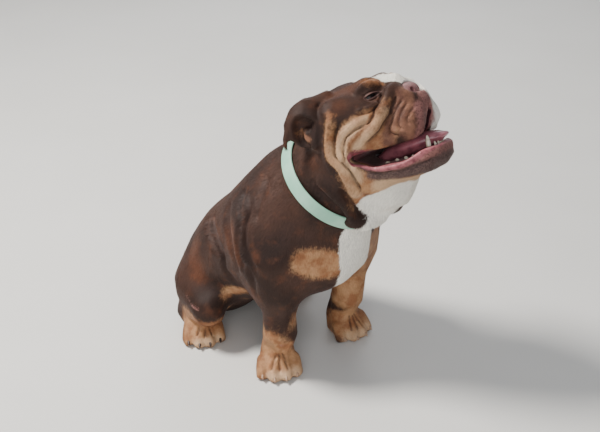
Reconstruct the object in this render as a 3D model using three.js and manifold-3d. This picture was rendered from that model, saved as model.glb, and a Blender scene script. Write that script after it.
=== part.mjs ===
// An English bulldog, life size, sitting with its head lifted and turned to its left, mouth open.
// Units are millimetres. The dog faces -Y, its left side is +X and +Z is up.
// The origin of the finished model is the middle of the bottom of its bounding box.
//
// The flesh is one smooth body: rounded masses and limbs that melt into each other.
// It is polygonised whole, thinned to few facets, and parted by thin cuts into named parts.
import * as THREE from "three";
import { MarchingCubes } from "three/addons/objects/MarchingCubes.js";
import { mergeVertices } from "three/addons/utils/BufferGeometryUtils.js";
import Module from "manifold-3d";

// Driving dimensions
const GAP = 0.3; // air left between two pieces that touch
const BODY_CELL = 3.2; // step of the grid that the flesh is polygonised on
const SMALL_CELL = 1.6; // the same for ears and nose
const FLESH_TRIANGLES = 2300;
const EAR_TRIANGLES = 250;
const NOSE_TRIANGLES = 210;
const FACET_ERROR = 0.8; // how far a thinned surface may stand off the shape
const HEAD_DETAIL = 6; // how much more an error counts on the head than on the trunk
const PAW_DETAIL = 5;
const HEAD_REACH = 165; // the head is all that lies this near its middle
const PAW_TOP = 45;

// Trunk masses on the midline: place, radius seen from the side, half width
const PELVIS = { y: 73, z: 60, radius: 68, half: 79 };
const LOIN = { y: 46, z: 112, radius: 79, half: 92 };
const RIBS = { y: -10, z: 156, radius: 96, half: 114 };
const CHEST = { y: -72, z: 200, radius: 102, half: 120 };
const WITHERS = { y: -110, z: 245, radius: 104, half: 112 };
const FORECHEST = { y: -140, z: 228, radius: 98, half: 114 };
const NECK_BASE = { y: -142, z: 290, radius: 89, half: 101 };

// Neck and collar: the ring's middle, its rise from the horizontal and its turn to the left
const COLLAR = { y: -192, z: 343, rise: 52, yaw: 8, width: 25, thickness: 3 };
const NECK_RADIUS = 76;

// Head: the point midway between the eyes, and how the head is held, in degrees
const HEAD = { x: 45, y: -248, z: 487, yaw: 25, lift: 29, roll: 14 };
const EYE = { side: 44, forward: -11, up: -1, radius: 11.5 };
const LIDS = { side: 53, forward: -2, up: -1, width: 14, depth: 8, height: 6 };
const TONGUE = { y: -4, z: -90.5, width: 24, length: 59, height: 12.5 };
const CANINE = { side: 24.5, forward: 42, base: -97, length: 18, radius: 3.8, lean: -12 };

// Limbs, given for the left side
const ELBOW = { x: 89, y: -152, z: 174, radius: 35 };
const WRIST = { x: 80, y: -149, z: 68, radius: 26.5 };
const FORE_PAW = { y: -143, length: 86, width: 76 };
const FORE_PAW_RIGHT = { x: -80, turn: 38 }; // turned out
const FORE_PAW_LEFT = { x: 83, turn: -6 }; // turned a little in
const HIND_PAW = { x: 104, y: 18, length: 84, width: 72, turn: 36 };
const CLAW = { length: 11, radius: 2.9, drop: 26, ahead: 7, above: 3 };

const X = new THREE.Vector3(1, 0, 0);
const Y = new THREE.Vector3(0, 1, 0);
const Z = new THREE.Vector3(0, 0, 1);
const radians = THREE.MathUtils.degToRad;

// Distance shapes: functions of a point, negative inside

function ellipsoid(cx, cy, cz, rx, ry = rx, rz = rx) {
  return (x, y, z) => {
    const u = (x - cx) / rx;
    const v = (y - cy) / ry;
    const w = (z - cz) / rz;
    const near = Math.sqrt(u * u + v * v + w * w);
    const slope = Math.sqrt((u / rx) ** 2 + (v / ry) ** 2 + (w / rz) ** 2);
    return slope < 1e-9 ? -Math.min(rx, ry, rz) : (near * (near - 1)) / slope;
  };
}

// A round bar whose radius runs from one end to the other
function limb([ax, ay, az], radiusA, [bx, by, bz], radiusB) {
  const dx = bx - ax;
  const dy = by - ay;
  const dz = bz - az;
  const lengthSquared = dx * dx + dy * dy + dz * dz;
  return (x, y, z) => {
    const along = ((x - ax) * dx + (y - ay) * dy + (z - az) * dz) / lengthSquared;
    const t = Math.min(1, Math.max(0, along));
    const away = Math.hypot(x - ax - t * dx, y - ay - t * dy, z - az - t * dz);
    return away - radiusA - t * (radiusB - radiusA);
  };
}

// Both sides of the midline from the shape of one
const mirrored = (shape) => (x, y, z) => shape(Math.abs(x), y, z);

// A shape given in the frame of a placed object
function placed(shape, frame) {
  const m = frame.matrixWorld.clone().invert().elements;
  return (x, y, z) =>
    shape(
      m[0] * x + m[4] * y + m[8] * z + m[12],
      m[1] * x + m[5] * y + m[9] * z + m[13],
      m[2] * x + m[6] * y + m[10] * z + m[14],
    );
}

// Two distances joined with a fillet, and one cut out of the other
function melt(a, b, blend) {
  const overlap = Math.max(blend - Math.abs(a - b), 0) / blend;
  return Math.min(a, b) - (overlap * overlap * blend) / 4;
}
const carve = (a, b, blend) => -melt(-a, b, blend);

function melted(shapes, blend) {
  return (x, y, z) => {
    let d = shapes[0](x, y, z);
    for (let i = 1; i < shapes.length; i++) d = melt(d, shapes[i](x, y, z), blend);
    return d;
  };
}

// Frames

function frameAt(x, y, z, turns = []) {
  const frame = new THREE.Object3D();
  frame.position.set(x, y, z);
  for (const [axis, degrees] of turns) frame.rotateOnAxis(axis, radians(degrees));
  frame.updateMatrixWorld(true);
  return frame;
}

// In the head's frame and the paws' the piece faces -Y too, so a forward measure is -y
const headFrame = frameAt(HEAD.x, HEAD.y, HEAD.z, [[Z, HEAD.yaw], [X, -HEAD.lift], [Y, HEAD.roll]]);
const collarFrame = frameAt(0, COLLAR.y, COLLAR.z, [[Z, COLLAR.yaw], [X, 90 - COLLAR.rise]]);
const inWorld = (frame, x, y, z) => frame.localToWorld(new THREE.Vector3(x, y, z));

function frameIn(parent, x, y, z, turns = []) {
  const frame = frameAt(x, y, z, turns);
  parent.add(frame);
  frame.updateWorldMatrix(true, false);
  return frame;
}

// Trunk and neck

const mass = ({ y, z, radius, half }) => ellipsoid(0, y, z, half, radius, radius);

function trunkAndNeck() {
  const nape = inWorld(collarFrame, 0, 0, 70);
  const trunk = melted([PELVIS, LOIN, RIBS, CHEST, WITHERS].map(mass), 30);
  const front = melted([FORECHEST, NECK_BASE].map(mass), 34);
  const neck = limb(
    [0, NECK_BASE.y, NECK_BASE.z],
    NECK_BASE.radius - 2,
    [nape.x, nape.y, nape.z],
    NECK_RADIUS,
  );
  return (x, y, z) => {
    const body = melt(trunk(x, y, z), front(x, y, z), 34);
    return melt(body, neck(x, y, z), 30);
  };
}

// Legs: each function gives the mass of one side, with x away from the midline

function foreLeg() {
  const shoulder = ellipsoid(84, -130, 232, 48, 62, 84);
  const upperArm = limb([96, -142, 228], 45, [ELBOW.x, ELBOW.y, ELBOW.z], ELBOW.radius + 3);
  const elbowPoint = ellipsoid(ELBOW.x + 12, ELBOW.y + 32, ELBOW.z + 6, 15, 17, 17);
  const foreArm = limb(
    [ELBOW.x - 2, ELBOW.y, ELBOW.z - 4],
    ELBOW.radius - 2,
    [WRIST.x, WRIST.y, WRIST.z + 14],
    WRIST.radius,
  );
  const upper = melted([shoulder, upperArm, elbowPoint], 26);
  return (x, y, z) => melt(upper(x, y, z), foreArm(x, y, z), 22);
}

function hindLeg() {
  const thigh = ellipsoid(76, 34, 95, 47, 52, 66);
  const knee = limb([90, 34, 90], 42, [113, -13, 82], 31);
  const shank = limb([114, -8, 68], 25, [96, 62, 42], 19);
  const heel = limb([95, 64, 34], 18, [HIND_PAW.x - 4, HIND_PAW.y + 16, 26], 20);
  const upper = melted([thigh, knee], 26);
  const lower = melted([shank, heel], 14);
  return (x, y, z) => melt(upper(x, y, z), lower(x, y, z), 14);
}

// A paw in its own frame: four toes, a pad below and the end of the leg behind
const TOES = [-1.5, -0.5, 0.5, 1.5];
const TOE_RADIUS = 11;

function toeTip(toe, { length, width }) {
  const outer = Math.abs(toe) > 1;
  return { side: toe * width * 0.25, forward: length * (outer ? 0.25 : 0.37), up: 9 };
}

function paw(size) {
  const pad = ellipsoid(0, 2, 14, size.width * 0.42, size.length * 0.38, 15);
  const instep = ellipsoid(0, 8, 30, size.width * 0.35, size.length * 0.3, 21);
  const toes = TOES.map((toe) => {
    const tip = toeTip(toe, size);
    const knuckle = [tip.side * 0.86, -tip.forward + 15, 25];
    return limb(knuckle, TOE_RADIUS + 0.5, [tip.side, -tip.forward, tip.up], TOE_RADIUS);
  });
  const palm = melted([pad, instep], 12);
  return (x, y, z) => {
    let fan = Infinity;
    for (const toe of toes) fan = fan === Infinity ? toe(x, y, z) : melt(fan, toe(x, y, z), 3);
    return melt(palm(x, y, z), fan, 7);
  };
}

const pawFrames = {
  forepaw_right: frameAt(FORE_PAW_RIGHT.x, FORE_PAW.y, 0, [[Z, -FORE_PAW_RIGHT.turn]]),
  forepaw_left: frameAt(FORE_PAW_LEFT.x, FORE_PAW.y, 0, [[Z, FORE_PAW_LEFT.turn]]),
  hindpaw_right: frameAt(-HIND_PAW.x, HIND_PAW.y, 0, [[Z, -HIND_PAW.turn]]),
  hindpaw_left: frameAt(HIND_PAW.x, HIND_PAW.y, 0, [[Z, HIND_PAW.turn]]),
};
const pawSize = (name) => (name.startsWith("fore") ? FORE_PAW : HIND_PAW);

// The pastern joins each wrist or heel to its own turned paw
function pastern(name) {
  const frame = pawFrames[name];
  const side = name.endsWith("left") ? 1 : -1;
  const top = inWorld(frame, 0, 12, 36);
  return name.startsWith("fore")
    ? limb([side * WRIST.x, WRIST.y, WRIST.z + 14], WRIST.radius, [top.x, top.y, top.z], 25)
    : limb([side * 98, 56, 34], 20, [top.x, top.y, 27], 22);
}

// Head, in its own frame. Shapes of one side carry a positive x

function skull() {
  const cranium = ellipsoid(0, 62, -4, 73, 66, 38);
  const brow = mirrored(ellipsoid(32, 12, 9, 24, 20, 20));
  const noseRoll = ellipsoid(0, -8, 2, 25, 27, 21);
  const cheekbone = mirrored(limb([54, 12, -22], 19, [66, 58, -8], 26));
  const cheek = mirrored(ellipsoid(56, 62, -36, 33, 38, 46));
  return melted([cranium, brow, noseRoll, cheekbone, cheek], 16);
}

function muzzle() {
  const front = ellipsoid(0, -27, -33, 45, 31, 33);
  const shoulder = mirrored(ellipsoid(27, -20, -19, 23, 25, 22));
  const flew = mirrored(ellipsoid(31, -16, -53, 31, 38, 31));
  const lipBehind = mirrored(limb([44, -2, -60], 22, [58, 44, -62], 17));
  return melted([front, shoulder, flew, lipBehind], 10);
}

// A fold of loose skin: a bar that follows a few places on the surface
function fold(places, radius) {
  const bars = places.slice(1).map((to, i) => limb(places[i], radius, to, radius));
  return mirrored(melted(bars, radius));
}

function faceFolds() {
  const nose = fold([[21, -25, 1], [35, -18, -14], [53, -11, -30], [68, 8, -44], [78, 32, -57]], 8);
  const cheek = fold([[62, -1, -27], [76, 22, -30], [84, 43, -43], [86, 54, -62], [82, 52, -86]], 8);
  const jowl = fold([[86, 54, -16], [88, 73, -38], [88, 75, -60], [82, 64, -88], [68, 64, -118]], 8);
  return (x, y, z) => Math.min(nose(x, y, z), cheek(x, y, z), jowl(x, y, z));
}

function lowerJaw() {
  const chin = ellipsoid(0, -37, -111, 36, 25, 19);
  const side = mirrored(limb([34, -34, -111], 19, [54, 46, -104], 22));
  const floor = ellipsoid(0, 14, -114, 44, 62, 21);
  const throat = ellipsoid(0, 56, -92, 58, 50, 45);
  const lip = fold([[0, -54, -99], [22, -50, -100], [42, -34, -106], [58, -6, -108], [70, 26, -101]], 9);
  const jaw = melted([chin, side, floor, throat], 14);
  return (x, y, z) => melt(jaw(x, y, z), lip(x, y, z), 8);
}

// The opening seen from the side, from the corner forward: place, height and half width of the gap
const MOUTH_LINE = [
  [50, -75, 5],
  [24, -85, 11],
  [-12, -90, 11],
  [-48, -88, 8.5],
  [-96, -88, 8.5],
];

function mouth() {
  const gaps = MOUTH_LINE.slice(1).map(([y, z, half], i) => {
    const [rearY, rearZ, rearHalf] = MOUTH_LINE[i];
    return limb([0, rearY, rearZ], rearHalf, [0, y, z], half);
  });
  const slot = melted(gaps, 6);
  return (x, y, z) => Math.max(slot(0, y, z), Math.abs(x) - 95);
}

function head() {
  const upper = skull();
  const middle = muzzle();
  const lower = lowerJaw();
  const folds = faceFolds();
  const lids = mirrored(ellipsoid(LIDS.side, -LIDS.forward, LIDS.up, LIDS.width, LIDS.depth, LIDS.height));
  return (x, y, z) => {
    const face = melt(upper(x, y, z), middle(x, y, z), 12);
    const closed = melt(face, lower(x, y, z), 8);
    return carve(melt(closed, folds(x, y, z), 6), lids(x, y, z), 3);
  };
}

// A rose ear: a cupped leaf that opens outward, with a crest folded back and a hanging tip
function ear() {
  const leaf = ellipsoid(79, 103, -6, 22, 30, 36);
  const hollow = ellipsoid(97, 99, -19, 21, 23, 30);
  const crestFront = limb([58, 62, 24], 8.5, [74, 92, 22], 9);
  const crestRear = limb([74, 92, 22], 9, [87, 122, 6], 7.5);
  const crest = melted([crestFront, crestRear], 8);
  const tip = limb([88, 126, 0], 7, [95, 140, -25], 3.6);
  const lobe = limb([80, 84, -12], 9, [86, 98, -39], 7);
  const canal = ellipsoid(83, 101, -20, 8, 9, 13);
  return (x, y, z) => {
    const cup = carve(melt(leaf(x, y, z), crest(x, y, z), 8), hollow(x, y, z), 4);
    return melt(melt(cup, tip(x, y, z), 8), Math.min(lobe(x, y, z), canal(x, y, z)), 5);
  };
}

// The nose pad with its two comma-shaped nostrils
function nosePad() {
  const pad = ellipsoid(0, -35, -15, 29, 16, 17);
  const outer = limb([16, -48, -16], 3, [26, -40, -20], 1.6);
  const nostril = mirrored(melted([limb([11, -53, -13], 3.6, [16, -48, -16], 3), outer], 2));
  const cleft = limb([0, -53.5, -11], 1, [0, -51.5, -31], 1.2);
  return (x, y, z) => carve(carve(pad(x, y, z), nostril(x, y, z), 2), cleft(x, y, z), 2);
}

// What of a piece stands out of the flesh, with a root sunk a little way in
const ROOT = 4;
const standing = (shape, under) => (x, y, z) => Math.max(shape(x, y, z), -under(x, y, z) - ROOT);

// Two folds of loose skin hang from the jaw's corners to the front of the neck
function dewlap() {
  return melted(
    [
      ellipsoid(28, -264, 352, 47, 52, 46),
      limb([-40, -236, 372], 22, [-22, -268, 306], 15),
      limb([62, -236, 372], 22, [44, -262, 306], 15),
    ],
    22,
  );
}

function tail() {
  return melted([limb([0, 136, 80], 14, [4, 152, 60], 9), limb([4, 152, 60], 9, [-4, 154, 46], 6)], 4);
}

// The whole flesh

function flesh() {
  const body = trunkAndNeck();
  const legs = melted([mirrored(foreLeg()), mirrored(hindLeg())], 4);
  const pasterns = Object.keys(pawFrames).map(pastern);
  const paws = Object.entries(pawFrames).map(([name, frame]) => placed(paw(pawSize(name)), frame));
  const skullAndJaw = placed(head(), headFrame);
  const opening = placed(mouth(), headFrame);
  const loose = dewlap();
  const stump = tail();
  return (x, y, z) => {
    let d = melt(body(x, y, z), legs(x, y, z), 24);
    d = melt(d, stump(x, y, z), 10);
    if (z < 150) {
      for (const part of pasterns) d = melt(d, part(x, y, z), 12);
      for (const part of paws) d = melt(d, part(x, y, z), 9);
    }
    if (z > 230) {
      d = melt(d, loose(x, y, z), 22);
      d = carve(melt(d, skullAndJaw(x, y, z), 14), opening(x, y, z), 5);
    }
    return d;
  };
}

// Polygons of a distance field inside a box, by marching cubes

function polygonise(field, box, cell) {
  const margin = 3;
  const size = box.getSize(new THREE.Vector3());
  const steps = Math.ceil(Math.max(size.x, size.y, size.z) / cell) + 2 * margin;
  const resolution = steps + (steps % 2);
  const corner = box.min.clone().subScalar(margin * cell);
  const cubes = new MarchingCubes(resolution, undefined, false, false, 400000);
  const block = 4;
  const reach = block * cell * 1.8;
  cubes.field.fill(-1);
  for (let k = 0; k < resolution; k += block) {
    for (let j = 0; j < resolution; j += block) {
      for (let i = 0; i < resolution; i += block) {
        const half = block / 2;
        const middle = field(
          corner.x + (i + half) * cell,
          corner.y + (j + half) * cell,
          corner.z + (k + half) * cell,
        );
        const close = Math.abs(middle) < reach;
        if (!close && middle > 0) continue;
        for (let c = k; c < Math.min(k + block, resolution); c++) {
          for (let b = j; b < Math.min(j + block, resolution); b++) {
            for (let a = i; a < Math.min(i + block, resolution); a++) {
              const at = (c * resolution + b) * resolution + a;
              if (!close) {
                cubes.field[at] = 1;
                continue;
              }
              const d = field(corner.x + a * cell, corner.y + b * cell, corner.z + c * cell);
              // A vertex never falls on a grid point, so no facet collapses
              const least = 0.02 * cell;
              cubes.field[at] = Math.abs(d) < least ? (d < 0 ? least : -least) : -d;
            }
          }
        }
      }
    }
  }
  cubes.isolation = 0;
  cubes.update();
  // Vertices back to grid steps, with the exact ones rounded so that shared corners are the same
  const halfway = resolution / 2;
  const corners = new Float32Array(cubes.count * 3);
  for (let i = 0; i < corners.length; i++) {
    const g = (cubes.positionArray[i] + 1) * halfway;
    corners[i] = Math.abs(g - Math.round(g)) < 1e-3 ? Math.round(g) : g;
  }
  const soup = new THREE.BufferGeometry();
  soup.setAttribute("position", new THREE.BufferAttribute(corners, 3));
  const merged = mergeVertices(soup, 1e-3);
  merged.scale(cell, cell, cell);
  merged.translate(corner.x, corner.y, corner.z);
  return merged;
}

// Thinning: edges are taken away in the order of the least quadric error

function thinned(geometry, target, weightAt = () => 1) {
  const position = Float64Array.from(geometry.getAttribute("position").array);
  const faces = Int32Array.from(geometry.index.array);
  const vertexCount = position.length / 3;
  const faceCount = faces.length / 3;
  const quadrics = new Float64Array(vertexCount * 10);
  const around = Array.from({ length: vertexCount }, () => []);
  const alive = new Uint8Array(faceCount).fill(1);
  const version = new Int32Array(vertexCount);
  const a = new THREE.Vector3();
  const b = new THREE.Vector3();
  const c = new THREE.Vector3();
  const normal = new THREE.Vector3();
  const point = (v, out) => out.fromArray(position, v * 3);

  for (let f = 0; f < faceCount; f++) {
    const [i, j, k] = faces.subarray(f * 3, f * 3 + 3);
    point(i, a);
    normal.subVectors(point(j, b), a).cross(point(k, c).sub(a));
    const area = normal.length() / 2;
    normal.normalize();
    const d = -normal.dot(a);
    const w = area * weightAt(a);
    const { x, y, z } = normal;
    const terms = [x * x, x * y, x * z, x * d, y * y, y * z, y * d, z * z, z * d, d * d];
    for (const v of [i, j, k]) {
      around[v].push(f);
      for (let t = 0; t < 10; t++) quadrics[v * 10 + t] += w * terms[t];
    }
  }

  const sum = new Float64Array(10);
  function errorAt(q, x, y, z) {
    return (
      q[0] * x * x + 2 * q[1] * x * y + 2 * q[2] * x * z + 2 * q[3] * x +
      q[4] * y * y + 2 * q[5] * y * z + 2 * q[6] * y + q[7] * z * z + 2 * q[8] * z + q[9]
    );
  }
  // The best place for the vertex that takes the edge's place, and its error
  function best(i, j, out) {
    for (let t = 0; t < 10; t++) sum[t] = quadrics[i * 10 + t] + quadrics[j * 10 + t];
    const [p, q, r, s, t, u, v, w, x] = sum;
    const det = p * (t * w - u * u) - q * (q * w - u * r) + r * (q * u - t * r);
    const scale = Math.abs(p) + Math.abs(t) + Math.abs(w);
    point(i, a);
    point(j, b);
    out.addVectors(a, b).multiplyScalar(0.5);
    if (Math.abs(det) > 1e-4 * scale ** 3) {
      const solved = new THREE.Vector3(
        -(s * (t * w - u * u) - q * (v * w - u * x) + r * (v * u - t * x)) / det,
        -(p * (v * w - x * u) - s * (q * w - u * r) + r * (q * x - v * r)) / det,
        -(p * (t * x - u * v) - q * (q * x - v * r) + s * (q * u - t * r)) / det,
      );
      if (solved.distanceTo(out) < 1.5 * a.distanceTo(b)) out.copy(solved);
    }
    // A short edge goes first where the error is the same, which keeps the facets even
    return errorAt(sum, out.x, out.y, out.z) + 1e-3 * a.distanceToSquared(b) * weightAt(out);
  }

  // A binary heap of edges, cheapest first
  const heap = [];
  function push(entry) {
    let at = heap.push(entry) - 1;
    while (at > 0) {
      const up = (at - 1) >> 1;
      if (heap[up].cost <= entry.cost) break;
      heap[at] = heap[up];
      at = up;
    }
    heap[at] = entry;
  }
  function pop() {
    const top = heap[0];
    const last = heap.pop();
    if (heap.length) {
      let at = 0;
      for (;;) {
        let down = 2 * at + 1;
        if (down >= heap.length) break;
        if (down + 1 < heap.length && heap[down + 1].cost < heap[down].cost) down++;
        if (heap[down].cost >= last.cost) break;
        heap[at] = heap[down];
        at = down;
      }
      heap[at] = last;
    }
    return top;
  }
  const spot = new THREE.Vector3();
  function offer(i, j) {
    const cost = best(i, j, spot);
    push({ cost, i, j, vi: version[i], vj: version[j], x: spot.x, y: spot.y, z: spot.z });
  }
  const neighbours = (v) => {
    const found = new Set();
    for (const f of around[v]) {
      for (let t = 0; t < 3; t++) if (faces[f * 3 + t] !== v) found.add(faces[f * 3 + t]);
    }
    return found;
  };
  for (let v = 0; v < vertexCount; v++) {
    for (const n of neighbours(v)) if (n > v) offer(v, n);
  }

  // Whether moving a vertex to the new place keeps every face about it facing the same way
  const before = new THREE.Vector3();
  const after = new THREE.Vector3();
  function keepsFacing(v, other, place) {
    for (const f of around[v]) {
      const ids = faces.subarray(f * 3, f * 3 + 3);
      if (ids.includes(other)) continue;
      const [p, q, r] = [point(ids[0], a), point(ids[1], b), point(ids[2], c)];
      before.subVectors(q, p).cross(normal.subVectors(r, p));
      const moved = ids[0] === v ? p : ids[1] === v ? q : r;
      moved.copy(place);
      after.subVectors(q, p).cross(normal.subVectors(r, p));
      const lengths = before.length() * after.length();
      if (lengths < 1e-9 || before.dot(after) < 0.25 * lengths) return false;
      const longest = Math.max(p.distanceToSquared(q), q.distanceToSquared(r), r.distanceToSquared(p));
      if (after.length() < 0.06 * longest) return false;
    }
    return true;
  }

  let left = faceCount;
  const place = new THREE.Vector3();
  while (left > target && heap.length) {
    const edge = pop();
    const { i, j } = edge;
    if (version[i] !== edge.vi || version[j] !== edge.vj) continue;
    const nearI = neighbours(i);
    const nearJ = neighbours(j);
    let shared = 0;
    for (const n of nearI) if (nearJ.has(n)) shared++;
    if (shared !== 2) continue;
    place.set(edge.x, edge.y, edge.z);
    if (!keepsFacing(i, j, place) || !keepsFacing(j, i, place)) continue;
    place.toArray(position, i * 3);
    for (let t = 0; t < 10; t++) quadrics[i * 10 + t] += quadrics[j * 10 + t];
    const kept = [];
    for (const f of around[i]) {
      if (faces.subarray(f * 3, f * 3 + 3).includes(j)) {
        alive[f] = 0;
        left--;
      } else kept.push(f);
    }
    for (const f of around[j]) {
      if (!alive[f]) continue;
      const ids = faces.subarray(f * 3, f * 3 + 3);
      ids[ids.indexOf(j)] = i;
      kept.push(f);
    }
    for (const n of nearI) around[n] = around[n].filter((f) => alive[f]);
    for (const n of nearJ) around[n] = around[n].filter((f) => alive[f]);
    around[i] = kept;
    around[j] = [];
    version[i]++;
    version[j] = -1;
    for (const n of neighbours(i)) offer(i, n);
  }
  const triangles = [];
  for (let f = 0; f < faceCount; f++) if (alive[f]) triangles.push(...faces.subarray(f * 3, f * 3 + 3));
  const result = new THREE.BufferGeometry();
  result.setAttribute("position", new THREE.BufferAttribute(new Float32Array(position), 3));
  result.setIndex(triangles);
  return result;
}

// Solids for joining and cutting

const wasm = await Module();
wasm.setup();

function solidOf(geometry, tolerance = 1e-4) {
  const bare = geometry.index ? geometry.toNonIndexed() : geometry.clone();
  bare.deleteAttribute("normal");
  bare.deleteAttribute("uv");
  const merged = mergeVertices(bare, tolerance);
  const corners = [];
  const index = merged.index.array;
  for (let i = 0; i < index.length; i += 3) {
    const [a, b, c] = index.slice(i, i + 3);
    // A turned profile that ends on its axis gives faces without area there
    if (a !== b && b !== c && c !== a) corners.push(a, b, c);
  }
  return new wasm.Manifold(
    new wasm.Mesh({
      numProp: 3,
      vertProperties: new Float32Array(merged.getAttribute("position").array),
      triVerts: new Uint32Array(corners),
    }),
  );
}

function geometryOf(solid) {
  const mesh = solid.getMesh();
  const geometry = new THREE.BufferGeometry();
  geometry.setAttribute("position", new THREE.BufferAttribute(new Float32Array(mesh.vertProperties), 3));
  geometry.setIndex(new THREE.BufferAttribute(new Uint32Array(mesh.triVerts), 1));
  geometry.computeVertexNormals();
  return geometry;
}

const solidIn = (geometry, frame) => solidOf(geometry.applyMatrix4(frame.matrixWorld));
const largest = (solid) => solid.decompose().sort((a, b) => b.volume() - a.volume())[0];

function box(width, depth, height, frame, grow = 0) {
  return solidIn(new THREE.BoxGeometry(width + 2 * grow, depth + 2 * grow, height + 2 * grow), frame);
}

function ball(rx, ry, rz, frame, grow = 0, across = 24) {
  const sphere = new THREE.SphereGeometry(1, across, Math.round(across * 0.6));
  return solidIn(sphere.scale(rx + grow, ry + grow, rz + grow), frame);
}

function column(radius, height, frame, grow = 0) {
  const upright = new THREE.CylinderGeometry(radius + grow, radius + grow, height + 2 * grow, 14);
  return solidIn(upright.rotateX(Math.PI / 2), frame);
}

// The same solid with every corner moved outward along its normal
function swollen(solid, distance) {
  const geometry = geometryOf(solid);
  const position = geometry.getAttribute("position");
  const normal = geometry.getAttribute("normal");
  for (let i = 0; i < position.array.length; i++) position.array[i] += normal.array[i] * distance;
  return solidOf(geometry);
}

// A claw or tooth turned about its own length: radius and place along it, from root to point
function turned(profile, sides, frame, grow) {
  const last = profile.length - 1;
  const points = profile.map(([radius, along], i) => {
    const end = i === 0 ? -grow : i === last ? grow : 0;
    return new THREE.Vector2(radius > 0 ? radius + grow : 0, along + end);
  });
  return solidIn(new THREE.LatheGeometry([new THREE.Vector2(0, -grow), ...points], sides), frame);
}

// Pieces that sit in the flesh: each is a function of how much it is grown

const bodyShape = flesh();

function smallPiece(shape, [x, y, z], [width, depth, height], triangles) {
  const inPlace = standing(placed(shape, headFrame), bodyShape);
  const block = new THREE.Box3().setFromCenterAndSize(
    new THREE.Vector3(x, y, z),
    new THREE.Vector3(width, depth, height),
  );
  const around = block.applyMatrix4(headFrame.matrixWorld);
  const piece = solidOf(thinned(polygonise(inPlace, around, SMALL_CELL), triangles));
  return (grow) => (grow > 0 ? swollen(piece, 3 * grow) : piece);
}

// Blocks round the ear and the nose pad, in the head's frame
const EAR_BLOCK = { x: 82, y: 98, z: -4, size: [64, 100, 90] };
const NOSE_BLOCK = { x: 0, y: -37, z: -16, size: [74, 48, 58] };
const earShape = ear();
const earPiece = (side) =>
  smallPiece(
    (x, y, z) => earShape(side * x, y, z),
    [side * EAR_BLOCK.x, EAR_BLOCK.y, EAR_BLOCK.z],
    EAR_BLOCK.size,
    EAR_TRIANGLES,
  );
const nosePiece = smallPiece(
  nosePad(),
  [NOSE_BLOCK.x, NOSE_BLOCK.y, NOSE_BLOCK.z],
  NOSE_BLOCK.size,
  NOSE_TRIANGLES,
);

const eyePiece = (side) => (grow) => {
  const frame = frameIn(headFrame, side * EYE.side, -EYE.forward, EYE.up, [[X, 90]]);
  return ball(EYE.radius, EYE.radius, EYE.radius, frame, grow, 12);
};

const tonguePiece = (grow) =>
  ball(TONGUE.width, TONGUE.length, TONGUE.height, frameIn(headFrame, 0, TONGUE.y, TONGUE.z), grow, 12);

const caninePiece = (side) => (grow) => {
  const { length, radius } = CANINE;
  const profile = [[radius, 0], [radius * 0.9, length * 0.45], [radius * 0.5, length * 0.8], [0, length]];
  const place = [side * CANINE.side, -CANINE.forward, CANINE.base];
  return turned(profile, 8, frameIn(headFrame, ...place, [[X, 90 - CANINE.lean]]), grow);
};

// A claw leaves its toe a little ahead of and above the middle of the tip
const clawPiece = (paw, toe) => (grow) => {
  const { length, radius, drop, ahead, above } = CLAW;
  const tip = toeTip(toe, pawSize(paw));
  const profile = [[radius, 0], [radius * 0.8, length * 0.6], [0, length]];
  const place = [tip.side, -tip.forward - ahead, tip.up + above];
  return turned(profile, 6, frameIn(pawFrames[paw], ...place, [[X, 180 + drop]]), grow);
};

// The collar: a strap traced round the neck, under the loose folds, and drawn tight over its hollows
const STRAP_STEPS = 38;
const neckShape = trunkAndNeck();

function tracedRadii(height) {
  let radii = Array.from({ length: STRAP_STEPS }, (_, step) => {
    const angle = (step / STRAP_STEPS) * 2 * Math.PI;
    let radius = NECK_RADIUS + 60;
    for (;;) {
      const at = inWorld(collarFrame, radius * Math.sin(angle), radius * Math.cos(angle), height);
      const away = neckShape(at.x, at.y, at.z) - FACET_ERROR;
      if (away < 0.05 || radius < 20) return radius;
      radius -= away * 0.7;
    }
  });
  for (let pass = 0; pass < 60; pass++) {
    radii = radii.map((radius, i) => {
      const beside = radii.at(i - 1) + radii[(i + 1) % STRAP_STEPS];
      return Math.max(radius, beside / 2);
    });
  }
  return radii;
}

const strapEdges = { low: tracedRadii(-COLLAR.width / 2), high: tracedRadii(COLLAR.width / 2) };

function strapRadius(angle, height) {
  const step = Math.round((angle / (2 * Math.PI)) * STRAP_STEPS + STRAP_STEPS) % STRAP_STEPS;
  const share = height / COLLAR.width + 0.5;
  return strapEdges.low[step] * (1 - share) + strapEdges.high[step] * share;
}

const collarPiece = (grow) => {
  const half = COLLAR.width / 2 + grow;
  const outer = COLLAR.thickness + grow;
  const bevel = 0.8;
  const profile = [
    [-grow, -half],
    [-grow, half],
    [outer - bevel, half],
    [outer, half - bevel],
    [outer, bevel - half],
    [outer - bevel, -half],
    [-grow, -half],
  ].map(([out, along]) => new THREE.Vector2(out + 1, along));
  const ring = new THREE.LatheGeometry(profile, STRAP_STEPS);
  const position = ring.getAttribute("position");
  for (let i = 0; i < position.count; i++) {
    const [x, along, z] = [position.getX(i), position.getY(i), position.getZ(i)];
    const angle = Math.atan2(x, z);
    const radius = strapRadius(angle, along) + Math.hypot(x, z) - 1;
    position.setXYZ(i, radius * Math.sin(angle), radius * Math.cos(angle), along);
  }
  return solidIn(ring, collarFrame);
};

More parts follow.
